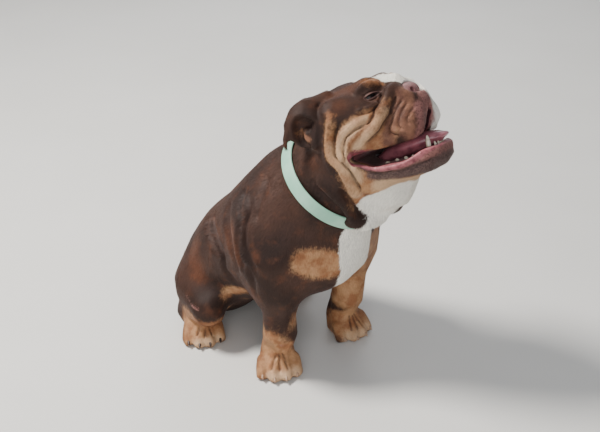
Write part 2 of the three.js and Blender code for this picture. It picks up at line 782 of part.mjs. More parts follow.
// The buckle lies on the strap on the dog's left, with a ring threaded through its lower edge
const BUCKLE = { angle: 128, width: 34, height: 29, thickness: 7 };
const HANGING_RING = { radius: 11, wire: 1.7 };
const buckleAngle = radians(BUCKLE.angle);
const buckleOut = strapRadius(buckleAngle, 0) + COLLAR.thickness + BUCKLE.thickness / 2 - 0.6;
const flare = strapRadius(buckleAngle, -COLLAR.width / 2) - strapRadius(buckleAngle, COLLAR.width / 2);
const buckleTilt = THREE.MathUtils.radToDeg(Math.atan2(flare, COLLAR.width));
const buckleFrame = frameIn(
  collarFrame,
  buckleOut * Math.sin(buckleAngle),
  buckleOut * Math.cos(buckleAngle),
  0,
  [[Z, -BUCKLE.angle], [X, buckleTilt]],
);

const ringPiece = (grow) => {
  const torus = new THREE.TorusGeometry(HANGING_RING.radius, HANGING_RING.wire + grow, 6, 14);
  const drop = BUCKLE.height / 2 + HANGING_RING.radius - 3.5;
  return solidIn(torus.rotateX(Math.PI / 2), frameIn(buckleFrame, 0, 1, -drop));
};

const bucklePiece = () => {
  const plate = box(BUCKLE.width, BUCKLE.thickness, BUCKLE.height, buckleFrame);
  return plate.subtract(collarPiece(GAP)).subtract(ringPiece(GAP));
};

// Parting the flesh: each region is a solid, grown by the gap where it is taken from the rest

const NECK_LENGTH = 34; // from the middle of the collar to the back of the head
const beyond = (height, grow) => box(600, 600, 400, frameIn(collarFrame, 0, 0, 200 + height), grow);

function jawRegion(grow) {
  const below = box(240, 240, 53, frameIn(headFrame, 0, -76, -113.5), grow);
  const before = box(240, 240, 240, frameIn(headFrame, 0, -63, -33, [[X, -27]]), grow);
  return below.intersect(before);
}

const foreLegRegion = (side) => (grow) =>
  ball(60, 72, 85, frameAt(side * 100, -135, 195), grow, 14).add(
    column(52, 200, frameAt(side * 84, -150, 90), grow),
  );
const hindLegRegion = (side) => (grow) => ball(68, 92, 90, frameAt(side * 118, 42, 78), grow, 14);
const forePawRegion = (side) => (grow) => box(140, 170, 60, frameAt(side * 84, -160, 18), grow);
const hindPawRegion = (side) => (grow) => {
  const frame = pawFrames[side > 0 ? "hindpaw_left" : "hindpaw_right"];
  return box(120, 120, 60, frameIn(frame, 0, -42, 16), grow);
};
const tailRegion = (grow) => ball(20, 18, 30, frameAt(1, 152, 64), grow, 10);

// The finished group

const MATERIALS = {
  coat: { color: 0x3b2218, roughness: 0.72 },
  tan: { color: 0xc08a55, roughness: 0.8 },
  lips: { color: 0xb98a86, roughness: 0.6 },
  nose: { color: 0x8d6464, roughness: 0.42 },
  tongue: { color: 0xc96a72, roughness: 0.35 },
  eye: { color: 0x24140c, roughness: 0.08 },
  tooth: { color: 0xe9dfc8, roughness: 0.3 },
  claw: { color: 0x3a2f2a, roughness: 0.4 },
  strap: { color: 0xa9cdb8, roughness: 0.55 },
  metal: { color: 0xb9bcc0, roughness: 0.3, metalness: 1 },
};

const pieces = [];
const keep = (name, solid, finish) => pieces.push({ name, finish, geometry: geometryOf(largest(solid)) });

const SIDES = { right: -1, left: 1 };
const headPlace = headFrame.position;
const onPaw = (at) => at.z < PAW_TOP;
const onHead = (at) => at.distanceTo(headPlace) < HEAD_REACH;
const detailAt = (at) => (onHead(at) ? HEAD_DETAIL : onPaw(at) ? PAW_DETAIL : 1);
const bodyBox = new THREE.Box3(new THREE.Vector3(-165, -390, -12), new THREE.Vector3(165, 215, 560));
let rest = solidOf(thinned(polygonise(bodyShape, bodyBox, BODY_CELL), FLESH_TRIANGLES, detailAt));
// The floor flattens the soles and the seat
const underFloor = box(600, 900, 100, frameAt(0, -80, -50));
rest = rest.subtract(underFloor);

// Takes the grown piece out of the flesh and keeps the piece itself
function seat(name, piece, finish) {
  const solid = piece(0);
  rest = rest.subtract(piece(GAP)).subtract(solid);
  keep(name, solid, finish);
}

for (const [label, side] of Object.entries(SIDES)) {
  seat(`ear_${label}`, earPiece(side), "coat");
  seat(`eye_${label}`, eyePiece(side), "eye");
  seat(`canine_${label}`, caninePiece(side), "tooth");
}
seat("nose", nosePiece, "nose");
seat("tongue", tonguePiece, "tongue");
seat("collar", collarPiece, "strap");
const bucklePlace = box(BUCKLE.width, BUCKLE.thickness, BUCKLE.height, buckleFrame, GAP);
rest = rest.subtract(ringPiece(GAP)).subtract(bucklePlace);
keep("collar_buckle", bucklePiece(), "metal");
keep("collar_ring", ringPiece(0), "metal");
for (const paw of Object.keys(pawFrames)) {
  TOES.forEach((toe, i) => seat(`claw_${paw.replace("paw", "")}_${i + 1}`, clawPiece(paw, toe), "claw"));
}

// Parts the named region from what is left of the flesh
function part(name, region, finish) {
  keep(name, rest.intersect(region(0)), finish);
  rest = rest.subtract(region(GAP));
}

part("lower_jaw", jawRegion, "lips");
part("head", (grow) => beyond(NECK_LENGTH, grow), "coat");
part("neck", (grow) => beyond(0, grow), "coat");
part("tail", tailRegion, "coat");
for (const [label, side] of Object.entries(SIDES)) {
  part(`forepaw_${label}`, forePawRegion(side), "tan");
  part(`foreleg_${label}`, foreLegRegion(side), "coat");
  part(`hindpaw_${label}`, hindPawRegion(side), "tan");
  part(`hindleg_${label}`, hindLegRegion(side), "coat");
}
keep("trunk", rest, "coat");

// The origin goes to the middle of the bottom of the bounding box
const bounds = new THREE.Box3();
for (const { geometry } of pieces) {
  geometry.computeBoundingBox();
  bounds.union(geometry.boundingBox);
}
const middle = bounds.getCenter(new THREE.Vector3());

const dog = new THREE.Group();
dog.name = "english_bulldog";
for (const { name, finish, geometry } of pieces) {
  geometry.translate(-middle.x, -middle.y, -bounds.min.z);
  // Corners within a micron become one, and the crumbs that this parts are dropped
  const clean = geometryOf(largest(solidOf(geometry, 1e-3)));
  const { color, roughness, metalness = 0 } = MATERIALS[finish];
  const mesh = new THREE.Mesh(clean, new THREE.MeshStandardMaterial({ color, roughness, metalness }));
  mesh.name = name;
  dog.add(mesh);
}

export default dog;
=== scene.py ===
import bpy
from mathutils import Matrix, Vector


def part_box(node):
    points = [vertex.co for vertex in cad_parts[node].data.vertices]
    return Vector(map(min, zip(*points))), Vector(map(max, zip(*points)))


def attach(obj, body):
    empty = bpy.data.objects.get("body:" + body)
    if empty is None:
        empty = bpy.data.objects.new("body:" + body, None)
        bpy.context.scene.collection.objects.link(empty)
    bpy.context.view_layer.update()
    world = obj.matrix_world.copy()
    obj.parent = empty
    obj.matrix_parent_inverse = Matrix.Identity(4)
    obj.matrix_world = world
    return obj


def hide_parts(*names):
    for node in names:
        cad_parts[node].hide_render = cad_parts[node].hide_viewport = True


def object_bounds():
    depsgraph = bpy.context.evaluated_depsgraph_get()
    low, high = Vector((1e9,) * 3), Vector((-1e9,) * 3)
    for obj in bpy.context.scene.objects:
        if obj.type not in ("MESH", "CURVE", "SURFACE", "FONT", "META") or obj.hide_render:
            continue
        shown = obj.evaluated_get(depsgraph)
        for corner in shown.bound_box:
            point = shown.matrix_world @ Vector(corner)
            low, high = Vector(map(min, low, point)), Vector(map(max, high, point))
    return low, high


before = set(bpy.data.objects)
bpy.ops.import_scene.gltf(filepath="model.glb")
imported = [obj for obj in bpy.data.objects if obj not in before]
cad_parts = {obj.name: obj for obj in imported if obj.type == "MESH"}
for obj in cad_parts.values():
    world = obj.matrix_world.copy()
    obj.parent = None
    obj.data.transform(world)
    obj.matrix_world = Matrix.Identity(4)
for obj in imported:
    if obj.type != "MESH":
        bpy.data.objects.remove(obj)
cad_box = [[float(value) for value in corner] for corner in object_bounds()]
print("CAD box", [[round(value, 4) for value in corner] for corner in cad_box])

# %% [markdown]
# An English bulldog sits with its head lifted and turned, its mouth open.
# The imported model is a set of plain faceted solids, one for each part of the body.
# Everything here is made over those solids: one skin, a short coat, eyes, nose, lips, tongue,
# teeth, claws and a collar. Places are taken from the boxes of the solids, in metres.

# %% Tools
import math

import bmesh
import bpy
import numpy as np
import openvdb
from mathutils import Matrix, Vector
from mathutils.bvhtree import BVHTree

MM = 0.001
chance = np.random.default_rng(11)


def middle_of(node):
    low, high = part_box(node)
    return (np.array(low) + np.array(high)) / 2


def soft_step(low, high, value):
    t = np.clip((value - low) / (high - low), 0, 1)
    return t * t * (3 - 2 * t)


def placed(name, data):
    """An object that holds the given data, in the scene."""
    thing = bpy.data.objects.new(name, data)
    bpy.context.collection.objects.link(thing)
    return thing


# %% [markdown]
# ## Two frames of reference
# The folds of the face are easier to give in the head's own directions: how far to the side,
# how far forward and how far up from the point between the eyes. The head is turned 25 degrees,
# lifted 29 and rolled 14, so one matrix carries such a place into the scene. Places on the body
# are given across, back and up from a point on the floor that keeps its distance to the head.

# %% Head frame
def turned(yaw, tilt, roll):
    turn = Matrix.Rotation(math.radians(yaw), 3, "Z") @ Matrix.Rotation(math.radians(tilt), 3, "X")
    return np.array(turn @ Matrix.Rotation(math.radians(roll), 3, "Y"))


HEAD_TURN = turned(25, -29, 14)
EYES_FROM_ORIGIN = np.array([0, 11, -1])
HEAD_FROM_BODY = (0.0446, -0.1468, 0.487)
eyes_middle = (middle_of("eye_right") + middle_of("eye_left")) / 2
head_origin = eyes_middle - HEAD_TURN @ EYES_FROM_ORIGIN * MM
body_origin = head_origin - HEAD_FROM_BODY


def from_head(places):
    """Places given as side, forward, up in millimetres, in the scene's metres."""
    places = np.asarray(places, float).reshape(-1, 3)
    return head_origin + (places * (1, -1, 1) * MM) @ HEAD_TURN.T


def to_head(points):
    return (points - head_origin) @ HEAD_TURN * (1, -1, 1) / MM


def from_body(places):
    return body_origin + np.asarray(places, float).reshape(-1, 3) * MM


COLLAR_TURN = turned(8, 38, 0)
COLLAR_MIDDLE = (-0.402, -90.797, 343)
NECK_REACH = 110  # the collar's band lies nearer to its axis than this, in millimetres
collar_middle = from_body([COLLAR_MIDDLE])[0]


def to_collar(points):
    """Across, back and up from the middle of the collar, along its own axes, in millimetres."""
    return (points - collar_middle) @ COLLAR_TURN / MM


def under_collar(points):
    across, back, up = to_collar(points).T
    return soft_step(11.5, 10, np.abs(up)) * (np.hypot(across, back) < NECK_REACH)


print("head origin", head_origin.round(4))

# %% [markdown]
# ## The view
# The photograph looks down on the dog from its right front, from less than two metres away.
# A camera could be placed by eye, but then every change of the model would need a new fit.
# Here it hangs at a fixed offset from the head's own origin.

# %% Camera
CAMERA_FROM_HEAD = (-1.2082, -1.0295, 0.6337)
CAMERA_LOOK = (0.6243, 0.6243, -0.4695)
camera_data = bpy.data.cameras.new("view")
camera_data.sensor_width = 36
camera_data.lens = 69.3
camera = placed("view", camera_data)
camera.location = head_origin + CAMERA_FROM_HEAD
camera.rotation_euler = Vector(CAMERA_LOOK).to_track_quat("-Z", "Y").to_euler()
bpy.context.scene.camera = camera
print("camera at", [round(value, 3) for value in camera.location])

# %% [markdown]
# ## The skin
# On the real dog one skin covers everything, so it has no seams at the joints. Joining the
# solids with a boolean would keep their facets, and a shrinkwrapped sphere would lose the mouth.
# Instead each solid becomes a field of distances on one grid, the smallest distance wins,
# the thin cuts between parts are closed, and the field is blurred before it turns back
# into a surface. The blur is strong on the trunk and weak on the face and feet.

# %% Distance fields
CELL = 1.5 * MM
BAND = 8  # cells on each side of a surface in which its distances are known
MARGIN = 6  # cells left free around the model

grid_low = np.floor(np.array(cad_box[0]) / CELL).astype(int) - MARGIN
grid_high = np.ceil(np.array(cad_box[1]) / CELL).astype(int) + MARGIN + 1


def surface_of(node):
    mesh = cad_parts[node].data
    points = np.empty(len(mesh.vertices) * 3, np.float32)
    mesh.vertices.foreach_get("co", points)
    mesh.calc_loop_triangles()
    corners = np.empty(len(mesh.loop_triangles) * 3, np.int32)
    mesh.loop_triangles.foreach_get("vertices", corners)
    return points.reshape(-1, 3), corners.reshape(-1, 3).astype(np.uint32)


def distances(points, faces, cell=CELL):
    """The distance field of a closed surface, and the grid place where it starts."""
    shape = {"triangles" if faces.shape[1] == 3 else "quads": faces}
    step = openvdb.createLinearTransform(voxelSize=cell)
    grid = openvdb.FloatGrid.createLevelSetFromPolygons(
        points, transform=step, halfWidth=BAND, **shape
    )
    low, high = (np.array(corner) for corner in grid.evalActiveVoxelBoundingBox())
    field = np.empty(tuple(high - low + 1), np.float32)
    grid.copyToArray(field, ijk=tuple(int(value) for value in low))
    return field, low


def lay_in(whole, part, low, grow=0.0):
    """Unites a part's field with the whole one."""
    start = np.maximum(low - grid_low, 0)
    end = np.minimum(low - grid_low + part.shape, whole.shape)
    there = tuple(slice(a, b) for a, b in zip(start, end))
    begin = start - (low - grid_low)
    here = tuple(slice(a, a + b - c) for a, b, c in zip(begin, end, start))
    whole[there] = np.minimum(whole[there], part[here] + grow)


def grid_of(field, low, cell, background):
    """A field as a grid that Blender's own library turns into a surface."""
    grid = openvdb.FloatGrid(background=background)
    grid.transform = openvdb.createLinearTransform(voxelSize=cell)
    grid.copyFromArray(np.ascontiguousarray(field, np.float32), tuple(int(v) for v in low))
    return grid


def cell_points(field, low, cell):
    """The places of all cells of a field that starts at the cell low, in metres."""
    return (np.argwhere(np.ones(field.shape, bool)) + low) * cell


SIDES = ("right", "left")
FLESH = ["head", "lower_jaw", "neck", "trunk", "tail", "ear_right", "ear_left"]
for limb in ("foreleg", "forepaw", "hindleg", "hindpaw"):
    FLESH += [f"{limb}_{side}" for side in SIDES]
SET_IN = [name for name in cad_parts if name.startswith(("claw", "canine", "nose"))]

BED = 0.8 * MM  # claws, canines and nose stand out of the flesh around them by this
body = np.full(tuple(grid_high - grid_low), BAND * CELL, np.float32)
for name in FLESH + ["eye_right", "eye_left"]:
    lay_in(body, *distances(*surface_of(name)))
for name in SET_IN:
    lay_in(body, *distances(*surface_of(name)), grow=BED)
print("grid", body.shape, "flesh", round(float((body < 0).sum()) * CELL**3 * 1000, 2), "litres")

# %% Close the cuts and blur
CUT = 1 * MM  # the surface goes out and back by this, which closes the cuts between parts
closed = grid_of(body, grid_low, CELL, float(body.max())).convertToQuads(isovalue=CUT)
body = np.full(body.shape, BAND * CELL, np.float32)
lay_in(body, *distances(*closed), grow=CUT)


def blurred(field, width):
    """A Gaussian blur, width in grid steps."""
    reach = int(math.ceil(2.3 * width))
    weights = np.exp(-0.5 * (np.arange(-reach, reach + 1) / width) ** 2).astype(np.float32)
    weights /= weights.sum()
    for axis in range(3):
        rim = [(reach, reach) if a == axis else (0, 0) for a in range(3)]
        padded = np.pad(field, rim, mode="edge")
        size = field.shape[axis]
        field = np.zeros_like(field)
        for k, weight in enumerate(weights):
            window = [slice(None)] * 3
            window[axis] = slice(k, k + size)
            field += padded[tuple(window)] * weight
    return field


axes = [((np.arange(a, b)) * CELL).astype(np.float32) for a, b in zip(grid_low, grid_high)]
gx, gy, gz = np.meshgrid(*axes, indexing="ij", sparse=True)


def near(middle, radius, soft):
    """1 inside a ball, 0 well outside it, on the grid."""
    away = np.sqrt((gx - middle[0]) ** 2 + (gy - middle[1]) ** 2 + (gz - middle[2]) ** 2)
    return soft_step(radius + soft, radius, away).astype(np.float32)


skull_middle = from_head([0, -25, -45])[0]
mouth_middle = from_head([0, 25, -85])[0]
paws = [middle_of(f"{limb}paw_{side}") for limb in ("fore", "hind") for side in SIDES]
ears = [middle_of(f"ear_{side}") for side in SIDES]

TRUNK_BLUR, FACE_BLUR, FINE_BLUR = 3.8, 1.8, 1.1
COAT_DEPTH, FACE_COAT_DEPTH = 1.2 * MM, 0.5 * MM
smooth_body = blurred(body, TRUNK_BLUR)
smooth_face = blurred(body, FACE_BLUR)
smooth_little = blurred(body, FINE_BLUR)
on_head = near(skull_middle, 108 * MM, 25 * MM)
fine_places = [near(place, 50 * MM, 20 * MM) for place in paws]
fine_places += [near(place, 36 * MM, 10 * MM) for place in ears]
fine_places.append(near(mouth_middle, 45 * MM, 20 * MM))
fine = np.maximum.reduce(fine_places)
skin_field = smooth_body + on_head * (smooth_face - smooth_body)
skin_field += fine * (smooth_little - skin_field)
skin_field += COAT_DEPTH - (COAT_DEPTH - FACE_COAT_DEPTH) * np.maximum(on_head, fine)
del body, smooth_body, smooth_face, smooth_little, fine_places, fine, on_head
print("blurred and set in by the depth of the coat")

# %% [markdown]
# ## The folds
# A bulldog's face is all loose skin: a rope over the muzzle, folds that hang from the cheek,
# a heavy upper lip. Sculpting would be the usual way. In code each fold is a path over the
# surface, along which the distance field is lowered for a ridge or raised for a groove,
# so that ridges and grooves run into each other as soft skin does.

# %% Ridges and grooves
def curve_through(places, steps=6):
    """A smooth line through the given places."""
    ends = np.vstack([2 * places[0] - places[1], places, 2 * places[-1] - places[-2]])
    line = []
    for a, b, c, d in zip(ends, ends[1:], ends[2:], ends[3:]):
        for t in np.arange(steps) / steps:
            bend = 2 * b + (c - a) * t + (2 * a - 5 * b + 4 * c - d) * t**2
            line.append((bend + (3 * b - a - 3 * c + d) * t**3) / 2)
    return np.array(line + [places[-1]])


def along(points, path):
    """How far points are from a path, and how far along it they lie, from 0 to 1."""
    lengths = np.linalg.norm(np.diff(path, axis=0), axis=1)
    starts = np.concatenate([[0], np.cumsum(lengths)])
    nearest = np.full(len(points), np.inf)
    place = np.zeros(len(points))
    for a, b, start, length in zip(path, path[1:], starts, lengths):
        t = np.clip((points - a) @ (b - a) / length**2, 0, 1)
        away = np.linalg.norm(points - a - t[:, None] * (b - a), axis=1)
        closer = away < nearest
        nearest[closer] = away[closer]
        place[closer] = (start + t[closer] * length) / starts[-1]
    return nearest, place


def cells_at(points, rim=0):
    """The grid's cells at points, kept as many cells inside the grid as rim says."""
    cells = np.rint(points / CELL).astype(int) - grid_low
    return np.clip(cells, rim, np.array(skin_field.shape) - 1 - rim).T


def on_surface(places, out):
    """Moves places onto the skin, along the slope of its field, then out by some millimetres."""
    field = skin_field
    for step in range(4):
        i, j, k = cells_at(places, 1)
        slope = np.stack(
            [
                field[i + 1, j, k] - field[i - 1, j, k],
                field[i, j + 1, k] - field[i, j - 1, k],
                field[i, j, k + 1] - field[i, j, k - 1],
            ],
            axis=1,
        )
        slope /= np.maximum(np.linalg.norm(slope, axis=1, keepdims=True), 1e-9)
        if step < 3:
            places = places - slope * np.clip(field[i, j, k], -4 * MM, 4 * MM)[:, None]
    return places + slope * out * MM


# Grooves deeper than DARK_GROOVE also get painted shade along their floor, kept in a field of its own
DARK_GROOVE = -2  # grooves deeper than this are also darkened, which crease_shade_field keeps
crease_shade_field = np.zeros(skin_field.shape, np.float32)


def block_around(places, reach, more=0):
    """The grid within some millimetres of places, as slices, and its first cell."""
    low = np.maximum(np.floor((places.min(0) - reach * MM) / CELL).astype(int) - grid_low, 0)
    high = np.ceil((places.max(0) + reach * MM) / CELL).astype(int) - grid_low + more
    there = tuple(slice(a, b) for a, b in zip(low, np.minimum(high, skin_field.shape)))
    return there, low + grid_low


def fold(places, width, height):
    """A ridge along the places, or a groove where height is below 0; millimetres."""
    path = curve_through(on_surface(places, 0.6 * height))
    reach = 2.3 * width
    there, first = block_around(path, reach, more=1)
    part = skin_field[there]
    cells = np.argwhere(np.abs(part) < reach * MM)
    away, place = along((cells + first) * CELL, path)
    ends = soft_step(0, 0.2, place) * soft_step(1, 0.8, place)
    bell = ends * np.exp(-((away / (width * MM)) ** 2))
    part[tuple(cells.T)] -= (height * MM * bell).astype(np.float32)
    # painted shade: the colour is darkened along a deep groove, where its shade falls
    if height < DARK_GROOVE:
        dark = crease_shade_field[there]
        dark[tuple(cells.T)] = np.maximum(dark[tuple(cells.T)], bell * min(1, -height / 4))


def carve(places, reach, depth_inside):
    """Removes flesh where depth_inside(points), in millimetres, is above 0."""
    there, first = block_around(places, reach)
    part = skin_field[there]
    inside = depth_inside(cell_points(part, first, CELL))
    skin_field[there] = np.maximum(part, np.minimum(inside, 3).reshape(part.shape) * MM)


def add_bar(places, radii, melt):
    """Joins a round bar to the flesh; melt is how widely the two run together, in millimetres."""
    path = curve_through(places)
    there, first = block_around(path, max(radii) + melt + 4)
    part = skin_field[there]
    away, place = along(cell_points(part, first, CELL), path)
    radius = np.interp(place, np.linspace(0, 1, len(radii)), radii)
    bar_field = (away - radius * MM).reshape(part.shape)
    overlap = np.maximum(melt * MM - np.abs(part - bar_field), 0)
    skin_field[there] = np.minimum(part, bar_field) - overlap**2 / (4 * melt * MM)


def both_sides(places):
    """The places mirrored to the right side, then as they are."""
    places = np.asarray(places, float)
    return places * (-1, 1, 1), places


# %% [markdown]
# The facets of the model leave out what is finer than they are. The nose pad needs a bed in the
# muzzle, the two halves of the upper lip part below the nose, the corner of the open mouth
# is loose and hollow, the ear ends in a point, and a fold of the throat hangs over the collar.

# %% Bed of the nose, cleft of the lip and corners of the mouth
PAD_MIDDLE, PAD_RADII = (0, 32, -14), (26.5, 14.5, 15.5)
OPENING_RISE = 0.62  # how steeply the bed of the nose opens upward ahead of the pad


def pad_distance(points, open_front=False):
    """How far points are from the nose pad, in millimetres, below 0 inside it."""
    side, forward, up = (to_head(points) - PAD_MIDDLE).T
    if open_front:
        up = up - OPENING_RISE * np.maximum(forward, 0)
        forward = np.minimum(forward, 0)
    local = np.stack([side, forward, up], axis=1)
    side, forward, up = (np.abs(local) / PAD_RADII).T
    share = (side**2.4 + forward**2 + up**2) ** 0.5
    slope = np.linalg.norm(local / np.square(PAD_RADII), axis=1)
    return share * (share - 1) / np.maximum(slope, 1e-6)


def cleft_inside(points):
    """How deep points lie in the cleft of the upper lip, in millimetres."""
    side, forward, up = to_head(points).T
    half_width = np.interp(up, [-88, -83, -76, -50, -36, -30], [-6, 13, 13, 7, 1.5, -3])
    back_wall = np.interp(up, [-86, -76, -50, -30], [24, 30, 44, 53])
    return np.minimum(half_width - np.abs(side), forward - back_wall)


PAD_AIR = 0.9  # millimetres between the nose pad and its bed
CLEFT_MIDDLE = (0, 45, -55)
MOUTH_CORNER = [(90, -42, -75), (82, -29, -80), (73, -12, -87), (64, 6, -91)]
MOUTH_CORNER_RADIUS = 10
EAR_TIP = [(87, -122, 0), (91, -131, -8), (93, -137, -17), (93, -139, -24)]
THROAT_FOLD = [(-36, -156, 303), (-12, -164, 300), (16, -166, 300), (40, -156, 306)]
carve(from_head([PAD_MIDDLE]), 44, lambda points: PAD_AIR - pad_distance(points, open_front=True))
carve(from_head([CLEFT_MIDDLE]), 46, cleft_inside)
for side in both_sides(MOUTH_CORNER):
    path = curve_through(from_head(side))
    carve(path, 18, lambda points, path=path: MOUTH_CORNER_RADIUS - along(points, path)[0] / MM)
for side in both_sides(EAR_TIP):
    add_bar(from_head(side), (6.5, 5.5, 4, 2), 3)
add_bar(from_body(THROAT_FOLD), (9, 13, 13, 10), 12)
print("mouth, nose and ears given their finer shape")

# %% Folds of the face
# Side, forward and up in the head's frame, then width and height
FACE_FOLDS = {
    "rope": (
        [(19, 27, 10), (43, 23, -4), (58, 13, -22), (71, 2, -36), (80, -17, -47), (88, -36, -53)],
        8, 6.5,
    ),
    "behind rope": (
        [(29, 15, 8), (47, 7, -8), (69, 1, -25), (78, -13, -37), (87, -30, -43)],
        3, -4.6,
    ),
    "before rope": (
        [(30, 36, 0), (48, 29, -17), (60, 18, -35), (67, 4, -47), (75, -13, -57), (85, -31, -62)],
        3.2, -5,
    ),
    "outer cheek": (
        [
            (74, -4, -24), (80, -13, -26), (87, -32, -30), (91, -50, -36), (93, -60, -50),
            (95, -61, -66), (92, -62, -84),
        ],
        5, 4.8,
    ),
    "inner cheek": (
        [(74, -4, -38), (80, -18, -41), (88, -32, -45), (92, -42, -53), (91, -48, -65), (83, -53, -80)],
        4.5, 4.4,
    ),
    "between cheeks": (
        [(76, -6, -31), (83, -17, -34), (90, -33, -38), (93, -46, -45), (95, -54, -59), (90, -58, -78)],
        2.6, -4.6,
    ),
    "jaw fold": (
        [
            (90, -52, -1), (94, -59, -17), (96, -67, -33), (97, -74, -57), (92, -66, -85),
            (78, -70, -116), (62, -77, -133),
        ],
        7, 6,
    ),
    "before jaw fold": (
        [
            (88, -44, -11), (91, -57, -35), (94, -64, -61), (91, -58, -84), (78, -58, -113),
            (58, -66, -134),
        ],
        3.4, -5.4,
    ),
    "behind jaw fold": (
        [(92, -64, -2), (96, -77, -34), (94, -85, -62), (89, -78, -95), (71, -83, -122)],
        4, -3.8,
    ),
    "lip crease": (
        [(38, 42, -16), (52, 29, -28), (60, 20, -41), (64, 12, -54), (62, 16, -63), (54, 28, -68)],
        2.3, -4,
    ),
    "middle lip crease": (
        [(36, 45, -24), (50, 36, -34), (57, 28, -46), (57, 26, -56), (50, 33, -62)],
        2.2, -3.4,
    ),
    "front lip crease": ([(33, 49, -34), (46, 43, -42), (51, 36, -50), (47, 38, -58)], 2.1, -2.8),
    "under the eye": ([(78, -20, -9), (68, -5, -14), (52, 8, -13)], 3, 2.6),
    "below that": ([(80, -24, -17), (72, -7, -21), (56, 8, -19)], 2.4, -3.2),
    "brow": ([(66, -22, 13), (52, -7, 18), (38, 6, 15), (27, 14, 9)], 6, 3.6),
    "over the brow": ([(60, -24, 21), (45, -10, 25), (30, 3, 23)], 3, -2.4),
    "forehead": ([(18, 2, 30), (16, -22, 34), (15, -44, 34)], 4, -2.4),
    "upper lip": (
        [
            (86, -38, -66), (76, -21, -69), (66, -6, -73), (58, 9, -77), (48, 28, -78),
            (36, 44, -76), (18, 52, -76),
        ],
        3.4, 1.8,
    ),
    "lower lip": (
        [
            (86, -46, -80), (78, -33, -93), (75, -18, -101), (69, 2, -105), (60, 21, -105),
            (53, 33, -103), (41, 46, -101), (22, 59, -98),
        ],
        4, 3.2,
    ),
    "below the lip": (
        [
            (84, -46, -90), (76, -30, -104), (72, -12, -111), (64, 8, -114), (54, 26, -114),
            (40, 42, -112), (22, 55, -110),
        ],
        3, -3,
    ),
}
for places, width, height in FACE_FOLDS.values():
    for side in both_sides(places):
        fold(from_head(side), width, height)
fold(from_head([(0, 52, -30), (0, 56, -40), (0, 57, -54), (0, 54, -72)]), 2.6, -4)
print(len(FACE_FOLDS) * 2 + 1, "folds on the face")

# %% Folds of the body
# The same in the scene's own directions: across, back and up, for the left side
BODY_FOLDS = {
    "flank": ([(72, 132, 220), (99, 98, 215), (114, 72, 204), (120, 46, 190)], 6, -4.2),
    "groin": (
        [(76, 106, 237), (96, 91, 227), (113, 65, 216), (121, 43, 200), (117, 38, 171), (104, 20, 146)],
        6, -5.6,
    ),
    "between them": ([(80, 112, 232), (104, 82, 221), (118, 56, 206), (121, 40, 186)], 5, 3),
    "ribs": ([(76, 65, 283), (102, 46, 264), (125, 17, 239), (132, 3, 214), (124, -4, 180)], 8, -4),
    "behind shoulder": (
        [(79, 28, 315), (117, -6, 289), (131, -13, 262), (141, -22, 230), (136, -30, 196)],
        7, -6.2,
    ),
    "shoulder fold": ([(92, 4, 318), (120, -14, 288), (135, -24, 258), (142, -36, 224)], 6, 4.2),
    "shoulder edge": (
        [(103, -19, 315), (125, -23, 281), (137, -37, 256), (142, -50, 230), (136, -58, 206)],
        5, -4.6,
    ),
    "withers": ([(70, -24, 352), (86, -30, 338), (101, -32, 319), (123, -39, 286)], 7, -2.6),
    "elbow": ([(136, -34, 232), (140, -44, 206), (134, -44, 184), (120, -40, 168)], 6, -4),
    "dewlap": (
        [(76, -118, 388), (70, -144, 364), (55, -162, 340), (43, -168, 318), (28, -180, 305)],
        9, 6,
    ),
    "before dewlap": ([(62, -152, 376), (52, -168, 352), (42, -176, 332), (26, -188, 318)], 4, -5),
    "behind dewlap": (
        [(84, -110, 376), (74, -134, 350), (58, -150, 328), (42, -158, 308)],
        4, -4.2,
    ),
}
for places, width, height in BODY_FOLDS.values():
    for side in both_sides(places):
        fold(from_body(side), width, height)
print(len(BODY_FOLDS) * 2, "folds on the body")

# %% Grooves between the toes
TOE_GROOVE = ((0.1, 6), (0.35, 18), (0.6, 25), (0.9, 28))  # share of the way back, and rise
for paw in ("fore_right", "fore_left", "hind_right", "hind_left"):
    tips = [middle_of(f"claw_{paw}_{toe}") for toe in (1, 2, 3, 4)]
    heel = np.mean(tips, axis=0) * 0.3 + middle_of(paw.replace("_", "paw_")) * 0.7
    for left_toe, right_toe in zip(tips, tips[1:]):
        tip = (left_toe + right_toe) / 2
        back = heel - tip
        path = [tip + back * share + (0, 0, rise * MM) for share, rise in TOE_GROOVE]
        fold(np.array(path), 2.6, -3.6)
print("three grooves on each paw")

# %% [markdown]
# ## The skin's mesh
# The surface is taken from the field with fewer faces where it is flat. Around the eyes it is
# divided again, because the rim of a lid is finer than the grid.

# %% Make the skin
FLATNESS = 0.0015  # how far the library may simplify flat parts, as a share
grid = grid_of(skin_field, grid_low, CELL, BAND * CELL)
points, triangles, quads = grid.convertToPolygons(isovalue=0.0, adaptivity=FLATNESS)


def make_mesh(name, points, faces):
    mesh = bpy.data.meshes.new(name)
    mesh.from_pydata([tuple(p) for p in points.tolist()], [], faces)
    mesh.validate()
    mesh.shade_smooth()
    return placed(name, mesh)


def face_outward(piece):
    work = bmesh.new()
    work.from_mesh(piece.data)
    bmesh.ops.recalc_face_normals(work, faces=work.faces)
    work.to_mesh(piece.data)
    work.free()
    return piece


skin = make_mesh("skin", points, triangles.tolist() + quads.tolist())
work = bmesh.new()
work.from_mesh(skin.data)
bmesh.ops.recalc_face_normals(work, faces=work.faces)
EYE_MIDDLES = [middle_of("eye_right"), middle_of("eye_left")]
LID_REACH = 24  # the lids lie within this of the eyeball's middle, in millimetres
for reach, longest in ((LID_REACH, 0.7), (19, 0.35)):
    around = []
    for spot in map(Vector, EYE_MIDDLES):
        for edge in work.edges:
            is_close = all((end.co - spot).length < reach * MM for end in edge.verts)
            if is_close and edge.calc_length() > longest * MM:
                around.append(edge)
    bmesh.ops.subdivide_edges(work, edges=around, cuts=1, use_grid_fill=True)
work.to_mesh(skin.data)
work.free()
print("skin", len(skin.data.vertices), "points", len(skin.data.polygons), "faces")

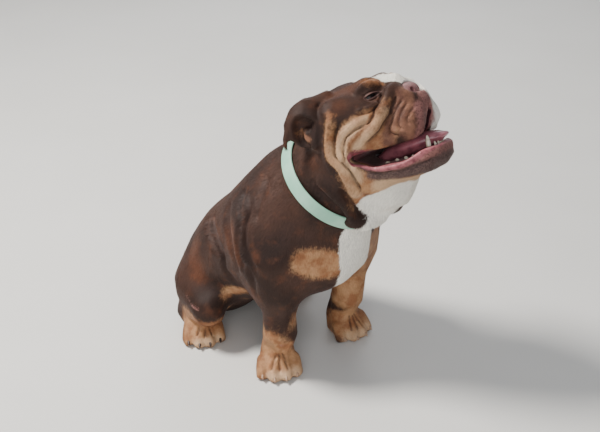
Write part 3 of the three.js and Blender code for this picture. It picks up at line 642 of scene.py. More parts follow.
# %% [markdown]
# ## The lids
# A dog's lids are two rims of skin that lie on the eyeball, and here they are nearly shut
# against the sun. Rings of separate geometry would show a seam. Instead the skin's own points
# around each eye are moved: onto the eyeball outside the slit, and down behind it inside.

# %% Shape the lids
def numbers(items, name, width=1, kind=np.float32):
    values = np.empty(len(items) * width, kind)
    items.foreach_get(name, values)
    return values.reshape(-1, width) if width > 1 else values


def head_direction(side, forward, up):
    direction = HEAD_TURN @ np.array([side, -forward, up], float)
    return direction / np.linalg.norm(direction)


EYE_RADIUS = 11.5  # the lids' measures are in millimetres
SLIT_HALF = 13.0  # from the middle of the slit to a corner
SLIT_SHIFT = -1.2  # how far out the slit's middle lies from the eyeball's
UPPER_LID, LOWER_LID = 2.5, 2.2  # how far each rim stands from the slit's middle line
SLIT_RISE = 0.8  # how far the slit's middle line lies above the eyeball's middle
SLIT_SLANT = 1.2  # how much lower the lower rim runs at the outer corner
LID_THICK = 2.0
LID_CREASE_WIDTH = 1.1


def eye_axes(sign):
    """Outward along the slit, out of the eye, and up."""
    outward = head_direction(sign * 27, -19, -1)
    out = head_direction(sign * 0.575, 0.817, 0.05)
    up = np.cross(outward, out) * -sign
    return np.stack([outward, out, up])


skin_points = numbers(skin.data.vertices, "co", 3).astype(float)
lid_rim = np.zeros(len(skin_points))
slit = np.zeros(len(skin_points))
for middle, sign in zip(EYE_MIDDLES, (-1, 1)):
    local = (skin_points - middle) @ eye_axes(sign).T / MM
    is_close = np.linalg.norm(local, axis=1) < LID_REACH
    near_eye = np.flatnonzero(is_close & (local[:, 1] > 0))
    a, c, b = local[near_eye].T
    along_slit = (a - SLIT_SHIFT) / SLIT_HALF
    arch = np.clip(1 - along_slit**2, 0, None)
    upper = UPPER_LID * arch + SLIT_RISE
    lower = -LOWER_LID * arch + SLIT_RISE - SLIT_SLANT * along_slit
    off_rim = np.maximum(b - upper, lower - b)
    beyond = np.maximum(np.abs(along_slit) - 1, 0) * SLIT_HALF
    off_rim = np.where(beyond > 0, np.hypot(np.maximum(off_rim, 0), beyond), off_rim)
    ball = np.sqrt(np.maximum(EYE_RADIUS**2 - a**2 - b**2, 0))
    lid = np.sqrt(np.maximum((EYE_RADIUS + LID_THICK) ** 2 - a**2 - b**2, 0))
    blend = soft_step(9, 2, off_rim)
    rounded = 0.7 * np.clip(1 - off_rim / 1.3, 0, 1) ** 2
    height = np.maximum(c, lid) * blend + c * (1 - blend) - rounded
    crease = 1.1 * np.exp(-(((b - upper - 3.6) / LID_CREASE_WIDTH) ** 2))
    crease += 0.9 * np.exp(-(((lower - b - 3.4) / LID_CREASE_WIDTH) ** 2))
    height -= crease * soft_step(1.1, 0.7, np.abs(along_slit))
    inside = np.maximum(ball - 2.2, c - 5)
    out = np.where(off_rim < 0, inside, height)
    skin_points[near_eye] = np.stack([a, out, b], axis=1) * MM @ eye_axes(sign) + middle
    lid_rim[near_eye] = np.maximum(lid_rim[near_eye], np.exp(-((off_rim / 1.9) ** 2)))
    slit[near_eye] = np.maximum(slit[near_eye], (off_rim < 0.3).astype(float))
skin.data.vertices.foreach_set("co", skin_points.astype(np.float32).ravel())
skin.data.update()
print("lid points", int((lid_rim > 0.1).sum()))

# %% [markdown]
# ## The markings
# The dog is chocolate brown with white and tan. Painting an image would tie the colours to one
# view and need a map. Here every marking is a brush stroke in space, with a width, and the same
# strokes colour the skin and each tuft of the coat. The value stored is how deep a point lies in
# the marking, from 0 to 1, so that the finish can break the edge up with noise.

# %% Brush strokes
def painted(points, strokes, soft):
    """How deep points lie in any stroke: 0.5 on its edge. A stroke is places with a radius each."""
    depth = np.zeros(len(points))
    for places, radii in strokes:
        path = curve_through(places, 5)
        reach = (max(radii) + soft) * MM
        low, high = path.min(0) - reach, path.max(0) + reach
        close = np.flatnonzero(((points > low) & (points < high)).all(1))
        away, place = along(points[close], path)
        marks = np.linspace(0, 1, len(radii))
        inside = np.interp(place, marks, radii) - away / MM
        depth[close] = np.maximum(depth[close], np.clip(0.5 + inside / (2 * soft), 0, 1))
    return depth


def strokes_in(to_scene, rows, mirror):
    made = []
    for places, *radii in rows:
        for side in both_sides(places) if mirror else [places]:
            made.append((to_scene(side), radii if len(radii) > 1 else radii * 2))
    return made


def head_strokes(*rows, mirror=True):
    return strokes_in(from_head, rows, mirror)


def body_strokes(*rows, mirror=True):
    return strokes_in(from_body, rows, mirror)


WHITE = head_strokes(
    ([(2, -52, 36), (0, -20, 32), (-1, 2, 28), (0, 18, 22), (6, 30, 10)], 6, 16, 23, 27, 24),
    ([(22, 40, 3), (26, 50, -14), (29, 55, -34), (31, 54, -56), (31, 48, -76)], 20, 21, 21, 20, 16),
    mirror=False,
)
WHITE += body_strokes(
    ([(44, -190, 352), (10, -205, 348), (-22, -186, 340)], 26, 30, 22),
    ([(20, -200, 330), (6, -186, 305), (-2, -165, 280), (-1, -150, 258)], 30, 30, 36, 40),
    (
        [(-1, -150, 258), (3, -142, 232), (5, -137, 206), (-3, -126, 185), (-10, -114, 168)],
        40, 38, 37, 28, 10,
    ),
    mirror=False,
)
TAN = head_strokes(
    ([(27, 10, 20), (34, 7, 18), (42, -3, 21)], 8),
    (
        [(52, 18, -14), (60, 11, -24), (71, 2, -36), (80, -17, -47), (88, -36, -55)],
        4, 7, 11, 12, 12,
    ),
    (
        [(74, -4, -24), (86, -32, -32), (92, -56, -50), (94, -61, -70), (88, -60, -92)],
        8, 10, 11, 12, 14,
    ),
    (
        [
            (90, -54, -6), (94, -62, -24), (97, -72, -50), (93, -66, -84), (78, -68, -114),
            (60, -74, -134),
        ],
        5, 9, 10, 12, 13, 14,
    ),
    ([(58, 12, -50), (66, 0, -62), (78, -22, -64)], 14, 13, 12),
    ([(80, -52, -104), (58, -30, -126), (30, 6, -132), (0, 20, -134)], 20, 24, 20, 18),
    ([(88, -110, -12), (89, -104, -24)], 5, 6),
)
TAN += body_strokes(
    ([(80, -104, 236), (64, -116, 230), (44, -128, 222)], 24, 27, 26),
    ([(96, -40, 70), (98, -46, 54), (92, -52, 24)], 34, 42, 50),
    ([(74, -50, 190), (72, -52, 150), (78, -52, 110)], 14, 18, 24),
    ([(104, 104, 36), (118, 96, 24)], 50, 46),
    ([(92, 30, 132), (97, 42, 126), (102, 56, 108)], 11, 13, 10),
    ([(50, 60, 110), (30, 40, 130), (0, 30, 136)], 24, 20, 16),
    ([(0, 250, 52), (30, 236, 40)], 16, 16),
)
TAN += body_strokes(
    ([(84, -98, 190), (90, -92, 150), (94, -84, 100)], 30, 44, 44),
    ([(68, -56, 176), (70, -56, 136), (76, -56, 100)], 30, 36, 40),
    mirror=False,
)
DARK_OVER_TAN = body_strokes(
    ([(-112, -72, 200), (-107, -76, 165), (-101, -79, 128), (-97, -80, 92)], 28, 24, 19, 12),
    ([(-124, -60, 190), (-118, -52, 140), (-112, -44, 104)], 24, 20, 12),
    mirror=False,
)
CREAM = head_strokes(
    (
        [(78, -10, -28), (88, -36, -36), (93, -54, -52), (93, -58, -74), (80, -54, -98)],
        6, 9, 10, 11, 12,
    ),
    ([(95, -68, -40), (95, -70, -62), (88, -66, -92), (70, -70, -122)], 5, 6, 8, 10),
    ([(60, 14, -26), (72, 0, -40), (82, -20, -52), (87, -36, -60)], 5, 7, 8, 7),
    ([(60, -26, -124), (30, -6, -136), (0, 6, -140)], 20, 20, 18),
)
CREAM += body_strokes(
    ([(112, -60, 10), (96, -76, 12), (78, -78, 12), (58, -68, 10)], 11),
    ([(136, 96, 10), (116, 84, 12), (100, 80, 10)], 11),
)
# Painted sheen: reddish highlights laid where light falls on the forehead, temples, shoulders and
# thighs
WARM_SHEEN = head_strokes(
    ([(38, -8, 30), (48, -34, 26), (58, -58, 16)], 14, 20, 16),
    ([(80, -40, 4), (84, -52, -4)], 12, 9),
)
WARM_SHEEN += body_strokes(
    ([(112, 20, 250), (126, 0, 230)], 22, 24),
    ([(110, 110, 140), (96, 130, 170)], 20, 22),
)
FLEW = head_strokes(
    ([(34, 44, -12), (44, 38, -32), (48, 32, -54), (42, 36, -74)], 13, 16, 16, 12),
    ([(62, 18, -44), (64, 6, -66)], 10, 9),
)
MUZZLE_PINK = head_strokes(
    ([(-3, 50, -12), (-5, 56, -28), (-3, 55, -46), (0, 50, -66)], 13, 14, 17, 19),
    ([(-26, 51, -40), (-32, 46, -58), (-34, 42, -74)], 12, 13, 10),
    mirror=False,
)
MUZZLE_PINK += head_strokes(
    (
        [(0, 66, -102), (24, 60, -104), (42, 46, -108), (56, 24, -111), (66, 2, -111)],
        14, 13, 12, 9, 6,
    ),
)
CHIN = head_strokes(
    (
        [
            (0, 56, -122), (24, 50, -122), (46, 34, -122), (58, 12, -122), (68, -14, -116),
            (77, -36, -104),
        ],
        14, 14, 13, 11, 8, 5,
    ),
)
LIP = head_strokes(
    (
        [
            (86, -46, -80), (78, -33, -92), (75, -18, -99), (68, 2, -103), (59, 21, -103),
            (52, 33, -101), (40, 45, -99), (20, 60, -95), (0, 64, -94),
        ],
        5, 7, 8, 8, 8, 8, 7, 7, 7,
    ),
)
LIP_EDGE = head_strokes(
    (
        [
            (84, -40, -70), (74, -24, -76), (62, -4, -80), (52, 14, -83), (42, 30, -84),
            (30, 44, -82), (0, 50, -80),
        ],
        3,
    ),
    (
        [
            (85, -46, -90), (78, -31, -103), (74, -14, -110), (65, 6, -113), (55, 24, -112),
            (41, 41, -110),
        ],
        3, 4, 4, 3, 2, 1,
    ),
)
BARE = body_strokes(
    ([(136, 122, 95), (140, 107, 89), (141, 86, 87)], 3.5),
    ([(100, -70, 66), (92, -72, 60)], 6),
)
# Painted shade in the hollow of each ear
EAR_HOLLOW_SHADE = head_strokes(
    ([(92, -84, 6), (92, -96, -20), (86, -112, -30)], 13, 17, 12),
)
STROKES = {
    "white": (WHITE, 6), "cream": (CREAM, 8), "warm_sheen": (WARM_SHEEN, 16), "flew": (FLEW, 9),
    "muzzle": (MUZZLE_PINK, 8), "chin": (CHIN, 6), "lip": (LIP, 2.5), "edge": (LIP_EDGE, 2.5),
    "bare": (BARE, 3), "hollow_shade": (EAR_HOLLOW_SHADE, 5),
}
stroke_count = sum(len(strokes) for strokes, _ in STROKES.values())
print(stroke_count + len(TAN) + len(DARK_OVER_TAN), "brush strokes")

# %% Values of the markings
def markings(points):
    values = {name: painted(points, strokes, soft) for name, (strokes, soft) in STROKES.items()}
    values["tan"] = np.minimum(painted(points, TAN, 11), 1 - painted(points, DARK_OVER_TAN, 11))
    side, forward, up = to_head(points).T
    side = np.abs(side)
    near_mouth = (side < 90) & (forward > -90) & (forward < 70) & (up > -125) & (up < -60)
    values["mouth"] = np.where(near_mouth, in_mouth(points), 0.0)
    return values


def in_mouth(points):
    """How deep points lie between the jaws, from 0 to 1."""
    side, forward, up = to_head(points).T
    side = np.abs(side)
    roof = np.interp(forward, [-95, -45, 0, 40, 60], [-76, -72, -76, -78, -76])
    bed = np.interp(forward, [-95, -45, 0, 40, 66], [-94, -100, -106, -102, -95])
    width = np.interp(forward, [-95, -60, -20, 20, 45, 66], [60, 72, 64, 49, 36, 12])
    depth = np.minimum.reduce([roof - up + 2, up - bed + 2, width - side])
    return np.clip(0.5 + depth / 24, 0, 1)


def give(mesh, values):
    for name, value in values.items():
        layer = mesh.attributes.get(name) or mesh.attributes.new(name, "FLOAT", "POINT")
        layer.data.foreach_set("value", np.asarray(value, np.float32))


skin_values = markings(skin_points)
corner_strokes = head_strokes((MOUTH_CORNER, 15))
in_corner = painted(skin_points, corner_strokes, 3)
in_cleft = np.clip(0.5 + (cleft_inside(skin_points) + 1.2) / 2.4, 0, 1)
# deep in the mouth, the cleft and the corners the colour turns to painted shade
skin_values["mouth"] = np.maximum.reduce([skin_values["mouth"], 0.62 * in_corner, in_cleft])
# painted shade along the grooves of the folds, on skin and coat alike
skin_values["crease"] = crease_shade_field[tuple(cells_at(skin_points))]
skin_values["lid"] = np.maximum(lid_rim, slit)
give(skin.data, skin_values)
print({name: round(float(value.mean()), 3) for name, value in skin_values.items()})

# %% [markdown]
# ## The finish of skin and coat
# Brown hair is warm where it is thin and nearly black where it is thick, and the light shows a
# soft sheen along it. Reddish patches on the forehead, temples, shoulders and thighs are painted
# sheen. The deep grooves of the folds, the hollow of each ear and the depth of the mouth get
# painted shade. One function makes the finish of the skin and that of the tufts, so that their
# edges agree. It reads the markings from the mesh and mixes the colours in turn, with noise in
# every edge.

# %% Coat material
def new_finish(name, roughness, specular=0.5):
    material = bpy.data.materials.new(name)
    material.use_nodes = True
    tree = material.node_tree
    shader = tree.nodes["Principled BSDF"]
    shader.inputs["Roughness"].default_value = roughness
    shader.inputs["Specular IOR Level"].default_value = specular
    return material, tree, shader


def put(tree, kind, **settings):
    node = tree.nodes.new(kind)
    for name, value in settings.items():
        setattr(node, name, value)
    return node


def noise(tree, scale, detail, rough=0.6):
    where = put(tree, "ShaderNodeTexCoord")
    node = put(tree, "ShaderNodeTexNoise")
    node.inputs["Scale"].default_value = scale
    node.inputs["Detail"].default_value = detail
    node.inputs["Roughness"].default_value = rough
    tree.links.new(where.outputs["Object"], node.inputs["Vector"])
    return node.outputs["Fac"]


def feed(tree, socket, value):
    """Puts a number, a colour or another node's output into a socket."""
    if isinstance(value, (int, float)):
        socket.default_value = value
    elif isinstance(value, tuple):
        socket.default_value = (*value, 1)
    else:
        tree.links.new(value, socket)


def sums(tree, how, a, b):
    node = put(tree, "ShaderNodeMath", operation=how)
    for socket, value in zip(node.inputs, (a, b)):
        feed(tree, socket, value)
    return node.outputs[0]


def mixed(tree, amount, a, b, how="MIX"):
    node = put(tree, "ShaderNodeMix", data_type="RGBA", blend_type=how)
    for number, value in ((0, amount), (6, a), (7, b)):
        feed(tree, node.inputs[number], value)
    return node.outputs[2]


def stepped(tree, value, low, high):
    node = put(tree, "ShaderNodeMapRange", interpolation_type="SMOOTHSTEP")
    node.inputs["From Min"].default_value = low
    node.inputs["From Max"].default_value = high
    tree.links.new(value, node.inputs["Value"])
    return node.outputs["Result"]


def read(tree, name):
    return put(tree, "ShaderNodeAttribute", attribute_name=name).outputs["Fac"]


def bumped(tree, shader, height, distance, strength):
    node = put(tree, "ShaderNodeBump")
    node.inputs["Distance"].default_value = distance
    node.inputs["Strength"].default_value = strength
    tree.links.new(height, node.inputs["Height"])
    tree.links.new(node.outputs["Normal"], shader.inputs["Normal"])


def mottled(tree, shader, spots, one, other, grain):
    """Two colours in soft spots: scale and limits; and a grain: scale, depth and strength."""
    scale, low, high = spots
    base = mixed(tree, stepped(tree, noise(tree, scale, 3), low, high), one, other)
    tree.links.new(base, shader.inputs["Base Color"])
    scale, depth, strength = grain
    bumped(tree, shader, noise(tree, scale, 2), depth, strength)


def colour(red, green, blue):
    """A colour as it looks on a screen, from 0 to 255, in the linear numbers that shaders use."""
    shares = [value / 255 for value in (red, green, blue)]
    return tuple(s / 12.92 if s < 0.04045 else ((s + 0.055) / 1.055) ** 2.4 for s in shares)


CHOCOLATE = colour(70, 47, 38)
CHOCOLATE_DEEP = colour(46, 31, 26)
# red-brown used for random patches of the coat's own tone and also for painted sheen
CHOCOLATE_RED_AND_SHEEN = colour(108, 64, 42)
TAN_COLOUR = colour(184, 140, 100)
TAN_DEEP = colour(150, 100, 66)
CREAM_COLOUR = colour(216, 184, 148)
WHITE_COLOUR = colour(238, 234, 224)
FLEW_COLOUR = colour(148, 104, 82)
FLEW_DEEP = colour(104, 70, 58)
MUZZLE_COLOUR = colour(162, 112, 104)
FRECKLE = colour(116, 76, 74)
CHIN_COLOUR = colour(112, 88, 82)
CHIN_DEEP = colour(82, 64, 61)
LIP_COLOUR = colour(168, 100, 104)
LIP_DEEP = colour(118, 62, 68)
# painted shade for the grooves of the folds
CREASE_SHADE = colour(48, 30, 24)
DARK_EDGE = colour(58, 42, 42)
MOUTH_PINK = colour(130, 68, 74)
# painted shade deep in the mouth and in the cleft of the lip
MOUTH_SHADE = colour(46, 18, 22)
LID_PALE = colour(104, 76, 70)
LID_DARK = colour(44, 28, 27)


def coat_finish(name, on_skin):
    material, tree, shader = new_finish(name, roughness=0.6, specular=0.22)
    ragged = sums(tree, "SUBTRACT", noise(tree, 160, 4, 0.7), 0.5)
    broad = noise(tree, 9, 2)
    patchy = noise(tree, 42, 3)
    base = mixed(tree, stepped(tree, broad, 0.35, 0.65), CHOCOLATE_DEEP, CHOCOLATE)
    reddish = sums(tree, "MULTIPLY", stepped(tree, patchy, 0.5, 0.8), 0.5)
    base = mixed(tree, reddish, base, CHOCOLATE_RED_AND_SHEEN)

    def edge(attribute, amount=0.9, low=0.36, high=0.64, most=1.0):
        moved = sums(tree, "MULTIPLY", ragged, amount)
        inside = stepped(tree, sums(tree, "ADD", read(tree, attribute), moved), low, high)
        return sums(tree, "MULTIPLY", inside, most)

    def blotched(low, high, dark, pale, field=patchy):
        return mixed(tree, stepped(tree, field, low, high), dark, pale)

    speckle = noise(tree, 420, 2, 0.5)
    tan = blotched(0.35, 0.65, TAN_DEEP, TAN_COLOUR)
    flew = blotched(0.35, 0.65, FLEW_DEEP, FLEW_COLOUR)
    freckled = blotched(0.48, 0.66, MUZZLE_COLOUR, FRECKLE, speckle)
    chin = blotched(0.42, 0.62, CHIN_DEEP, CHIN_COLOUR, speckle)
    # painted shade in the ear's hollow: deepest brown, warmer where the tan of the canal lies
    hollow_shade = mixed(tree, edge("tan"), CHOCOLATE_DEEP, FLEW_COLOUR)
    # What each layer reads, how ragged its edge is, where the edge lies, how much covers, colour
    layers = [
        # warm: painted sheen, reddish highlights on the forehead, temples, shoulders and thighs
        ("warm_sheen", 0.5, 0.2, 1.0, 0.5, CHOCOLATE_RED_AND_SHEEN), ("tan", 0.9, 0.22, 0.78, 1.0, tan),
        ("flew", 0.8, 0.25, 0.75, 0.9, flew), ("cream", 0.7, 0.2, 0.9, 0.7, CREAM_COLOUR),
        ("white", 0.7, 0.36, 0.64, 1.0, WHITE_COLOUR), ("muzzle", 0.8, 0.2, 0.8, 0.9, freckled),
        # hollow: painted shade in the hollow of each ear
        ("chin", 0.6, 0.25, 0.75, 0.95, chin), ("hollow_shade", 0.5, 0.3, 0.8, 0.8, hollow_shade),
        # crease: painted shade in the grooves of the folds
        ("crease", 0.2, 0.25, 1.0, 0.85, CREASE_SHADE),
    ]
    for attribute, amount, low, high, most, tint in layers:
        base = mixed(tree, edge(attribute, amount, low, high, most), base, tint)
    if on_skin:
        base = mixed(tree, edge("bare", 0.3), base, MUZZLE_COLOUR)
        # the lining goes from pink to painted shade the deeper it lies between the jaws
        inside = mixed(tree, stepped(tree, read(tree, "mouth"), 0.52, 0.95), MOUTH_PINK, MOUTH_SHADE)
        in_mouth_now = edge("mouth", 0.05, 0.46, 0.52)
        base = mixed(tree, in_mouth_now, base, inside)
        lip = edge("lip", 0.35, 0.4, 0.6)
        base = mixed(tree, lip, base, blotched(0.4, 0.7, LIP_COLOUR, LIP_DEEP, noise(tree, 120, 3)))
        base = mixed(tree, edge("edge", 0.4, 0.3, 0.8, 0.85), base, DARK_EDGE)
        base = mixed(tree, stepped(tree, read(tree, "lid"), 0.12, 0.4), base, LID_PALE)
        base = mixed(tree, stepped(tree, read(tree, "lid"), 0.72, 0.95), base, LID_DARK)
        coarse = sums(tree, "MULTIPLY", noise(tree, 300, 2), 0.6)
        bumped(tree, shader, sums(tree, "ADD", noise(tree, 900, 2), coarse), 0.0005, 0.7)
        wet = sums(tree, "MULTIPLY", sums(tree, "MAXIMUM", lip, in_mouth_now), -0.3)
        tree.links.new(sums(tree, "ADD", wet, 0.6), shader.inputs["Roughness"])
    else:
        grey = put(tree, "ShaderNodeCombineColor")
        for socket in grey.inputs:
            tree.links.new(read(tree, "shade"), socket)
        base = mixed(tree, 1.0, base, grey.outputs[0], "MULTIPLY")
    tree.links.new(base, shader.inputs["Base Color"])
    shader.inputs["Sheen Weight"].default_value = 0.2
    shader.inputs["Sheen Roughness"].default_value = 0.4
    shader.inputs["Sheen Tint"].default_value = (*colour(205, 180, 172), 1)
    return material


skin.data.materials.append(coat_finish("skin finish", True))
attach(skin, "root")
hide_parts(*FLESH)
print("skin finish has", len(skin.data.materials[0].node_tree.nodes), "nodes")

# %% [markdown]
# ## The lie of the coat
# Hair on a dog runs from the nose back over the skull, down the neck and along the back to the
# tail, and down the legs to the toes. A few arrows set at known places are enough: at any
# point the direction is their average, the near ones counting most, laid flat on the skin.

# %% Directions
HEAD_ARROWS = [
    ((0, 45, -20), (0.3, -0.6, -0.7)), ((20, 50, -40), (0.8, -0.6, -0.3)),
    ((0, 20, 20), (0, -1, 0.4)), ((0, -30, 32), (0, -1, 0)), ((45, -30, 28), (0.4, -0.9, 0)),
    ((50, 10, 10), (0.6, -0.8, 0.2)), ((60, 10, -40), (0.5, -0.8, -0.3)),
    ((85, -30, -40), (0.1, -0.9, -0.4)), ((90, -40, 0), (0.2, -1, -0.1)),
    ((95, -75, -50), (0, -0.7, -0.7)), ((80, -60, -110), (-0.2, -0.8, -0.5)),
    ((40, 40, -118), (0.3, -1, -0.2)), ((0, 0, -140), (0, -1, -0.2)),
    ((85, -95, 15), (0.2, -0.8, -0.6)), ((92, -120, -10), (0, -0.3, -1)),
    ((60, 0, -118), (0.2, -1, -0.2)), ((0, -90, 20), (0, -1, -0.4)),
]
BODY_ARROWS = [
    ((0, -60, 395), (0, 0.7, -0.7)), ((70, -90, 360), (0.3, 0.4, -0.8)),
    ((0, -185, 300), (0, 0.3, -1)), ((0, -150, 250), (0, 0.1, -1)),
    ((0, -120, 180), (0, 0.5, -0.9)), ((0, 20, 120), (0, 1, 0)),
    ((0, 20, 330), (0, 0.75, -0.65)), ((0, 120, 240), (0, 0.65, -0.75)),
    ((0, 220, 150), (0, 0.3, -0.95)), ((110, -60, 270), (0.1, 0.4, -0.9)),
    ((120, 0, 260), (0, 0.7, -0.7)), ((115, 60, 200), (0, 0.7, -0.7)),
    ((110, -70, 180), (0, 0.2, -1)), ((90, -60, 120), (0, 0.1, -1)),
    ((90, -50, 60), (0, -0.2, -1)), ((90, -60, 20), (0, -0.9, -0.5)),
    ((120, 120, 120), (0.1, 0.2, -1)), ((110, 80, 150), (0, 0, -1)),
    ((120, 160, 80), (0, 0.1, -1)), ((120, 95, 30), (0.5, -0.7, -0.5)),
    ((0, 240, 60), (0, 0.4, -0.9)), ((90, 200, 60), (0, 0.5, -0.8)),
    ((60, -100, 220), (-0.1, 0, -1)),
]


def arrows():
    places, ways = [], []
    for table, is_head in ((HEAD_ARROWS, True), (BODY_ARROWS, False)):
        for place, way in table:
            for sign in (-1, 1) if place[0] or way[0] else (1,):
                flip = np.array([sign, 1, 1])
                spot, arrow = np.array(place) * flip, np.array(way, float) * flip
                places.append((from_head(spot) if is_head else from_body(spot))[0])
                ways.append(head_direction(*arrow) if is_head else arrow / np.linalg.norm(arrow))
    return np.array(places), np.array(ways)


ARROW_PLACES, ARROW_WAYS = arrows()
ARROW_REACH = 0.05  # metres; beyond it an arrow loses its weight fast


def lie_of_coat(points, normals):
    ways = np.zeros_like(points)
    for place, way in zip(ARROW_PLACES, ARROW_WAYS):
        away = np.linalg.norm(points - place, axis=1) / ARROW_REACH
        ways += way * (1 / (0.02 + away**4))[:, None]
    ways -= normals * (ways * normals).sum(1, keepdims=True)
    return ways / np.maximum(np.linalg.norm(ways, axis=1, keepdims=True), 1e-9)


print(len(ARROW_PLACES), "arrows")

# %% [markdown]
# ## The coat
# The coat is short and lies flat, so it could be bump alone, but then the outline and the folds
# would look like rubber. Here hundreds of thousands of small tapered tufts of real mesh lie
# along the body, each three triangles long, rooted in the skin. They are shortest on the face
# and feet. There are none on the lips, the nose and the lids, in the mouth and under the collar.

# %% Roots of the tufts
skin.data.calc_loop_triangles()
corners = numbers(skin.data.loop_triangles, "vertices", 3, np.int32)
skin_normals = numbers(skin.data.vertices, "normal", 3).astype(float)
skin_points = numbers(skin.data.vertices, "co", 3).astype(float)
edge_one = skin_points[corners[:, 1]] - skin_points[corners[:, 0]]
edge_two = skin_points[corners[:, 2]] - skin_points[corners[:, 0]]
face_area = np.linalg.norm(np.cross(edge_one, edge_two), axis=1) / 2
print("skin area", round(float(face_area.sum()), 3), "square metres")


def ball_of(points, middle, radius, soft):
    return soft_step(radius + soft, radius, np.linalg.norm(points - middle, axis=1) / MM)


HAIR = 9.5  # the longest tufts, in millimetres
FACE_LOSS, PAW_LOSS, EAR_LOSS = 5.6, 5.5, 5.8  # how much shorter the tufts are there


def length_here(points):
    """Length of a tuft in millimetres."""
    length = HAIR - FACE_LOSS * ball_of(points, skull_middle, 92, 40)
    for place in paws:
        length = np.minimum(length, HAIR - PAW_LOSS * ball_of(points, place, 45, 60))
    for place in ears:
        length = np.minimum(length, HAIR - EAR_LOSS * ball_of(points, place, 40, 20))
    up_the_leg = soft_step(40, 190, points[:, 2] / MM)
    is_behind = points[:, 1] > 0.1
    return np.minimum(length, HAIR - PAW_LOSS + PAW_LOSS * up_the_leg + PAW_LOSS * is_behind)


def bare_here(values, points):
    """1 where no hair grows."""
    bare = [values["lip"] * 1.4 - 0.2, values["mouth"] * 5 - 2, values["bare"] * 1.2 - 0.3]
    bare += [soft_step(2.5, 0.5, pad_distance(points)), under_collar(points)]
    bare = np.maximum.reduce(bare)
    for middle, sign in zip(EYE_MIDDLES, (-1, 1)):
        spot = middle + eye_axes(sign).T @ np.array([SLIT_SHIFT * MM, EYE_RADIUS * MM, 0])
        bare = np.maximum(bare, ball_of(points, spot, 10, 5))
    return np.clip(bare, 0, 1)


TUFTS = 400_000
corner_length = length_here(skin_points)
weight = face_area * (HAIR / corner_length[corners].mean(1))
weight *= 1 - bare_here(skin_values, skin_points)[corners].mean(1)
is_sole = skin_normals[corners].mean(1)[:, 2] < -0.95
weight[is_sole] *= 0.3
total = np.cumsum(weight)
pick = (np.arange(TUFTS) + chance.random(TUFTS)) / TUFTS * total[-1]
face = np.minimum(np.searchsorted(total, pick), len(corners) - 1)
u, v = chance.random((2, TUFTS))
u, v = np.where(u + v > 1, 1 - u, u), np.where(u + v > 1, 1 - v, v)
share = np.stack([1 - u - v, u, v], axis=1)


def at_roots(values):
    picked = values[corners[face]]
    return (picked * (share[..., None] if picked.ndim == 3 else share)).sum(1)


roots = at_roots(skin_points)
root_normals = at_roots(skin_normals)
root_normals /= np.linalg.norm(root_normals, axis=1, keepdims=True)
lengths = at_roots(corner_length)
shortest, longest = round(float(lengths.min()), 1), round(float(lengths.max()), 1)
print(TUFTS, "tufts", shortest, "to", longest, "mm long")

# %% Shape of the tufts
lie = lie_of_coat(roots, root_normals)
across = np.cross(root_normals, lie)
swirl = np.sin(roots[:, 0] * 190 + roots[:, 2] * 120) * np.sin(roots[:, 1] * 160 - roots[:, 2] * 90)
TURN, ROLL = 0.16, 0.12  # how far tufts turn aside and roll over, in radians
turn = TURN * swirl + chance.normal(0, TURN, TUFTS)
way = lie * np.cos(turn)[:, None] + across * np.sin(turn)[:, None]
across = np.cross(root_normals, way)
roll = chance.normal(0, ROLL, TUFTS)
across = across * np.cos(roll)[:, None] + root_normals * np.sin(roll)[:, None]
reach = lengths * MM * chance.uniform(0.75, 1.2, TUFTS)
# Half a tuft's width and how high it stands: at least so many millimetres, and a share of length
HALF_LEAST, HALF_SHARE = 0.15, 0.026
LIFT_LEAST, LIFT_SHARE = 0.22, 0.06
half = (HALF_LEAST + HALF_SHARE * lengths) * MM * chance.uniform(0.8, 1.2, TUFTS)
lift = (LIFT_LEAST + LIFT_SHARE * lengths) * MM * chance.uniform(0.6, 1.3, TUFTS)
ROOT_DEPTH = 0.25 * MM
under = roots - root_normals * ROOT_DEPTH
middles = roots + way * (reach * 0.5)[:, None] + root_normals * (lift * 0.9)[:, None]
tips = roots + way * reach[:, None] + root_normals * (lift * 0.75)[:, None]
side = across * half[:, None]
waist = side * 0.9
tuft_points = [under - side, under + side, middles + waist, middles - waist, tips]
tuft_points = np.stack(tuft_points, axis=1)
FLOOR_AIR = 0.0002  # metres that tufts keep above the floor
tuft_points[..., 2] = np.maximum(tuft_points[..., 2], FLOOR_AIR)
COAT_MARKS = ("white", "tan", "cream", "warm_sheen", "flew", "muzzle", "chin", "hollow_shade", "crease")
tuft_values = {name: at_roots(value) for name, value in skin_values.items() if name in COAT_MARKS}
tuft_values["shade"] = chance.uniform(0.82, 1.18, TUFTS)
print("tufts stand", round(float(lift.max() / MM), 2), "mm at most")

# %% [markdown]
# ## A map for the coat
# The export bakes colours through a map. Each tuft gets a small patch at its root's own place on
# an unwrap of the skin, so that neighbours in the coat are neighbours on the map. The skin is
# unwrapped on a lighter copy, which takes seconds instead of minutes.

# %% Unwrap a light copy of the skin
light = placed("light copy", skin.data.copy())
thin = light.modifiers.new("thin", "DECIMATE")
thin.ratio = 0.04
bpy.context.view_layer.objects.active = light
for other in bpy.context.selected_objects:
    other.select_set(False)
light.select_set(True)
bpy.ops.object.modifier_apply(modifier="thin")
bpy.ops.object.mode_set(mode="EDIT")
bpy.ops.mesh.select_all(action="SELECT")
bpy.ops.mesh.quads_convert_to_tris()
bpy.ops.uv.smart_project(angle_limit=math.radians(66), island_margin=0.002)
bpy.ops.object.mode_set(mode="OBJECT")
light_points = numbers(light.data.vertices, "co", 3).astype(float)
light_corners = numbers(light.data.loops, "vertex_index", 1, np.int32).reshape(-1, 3)
light_map = numbers(light.data.uv_layers.active.data, "uv", 2).reshape(-1, 3, 2).astype(float)
light_faces = BVHTree.FromPolygons(light_points.tolist(), light_corners.tolist())
root_places = map(Vector, roots.tolist())
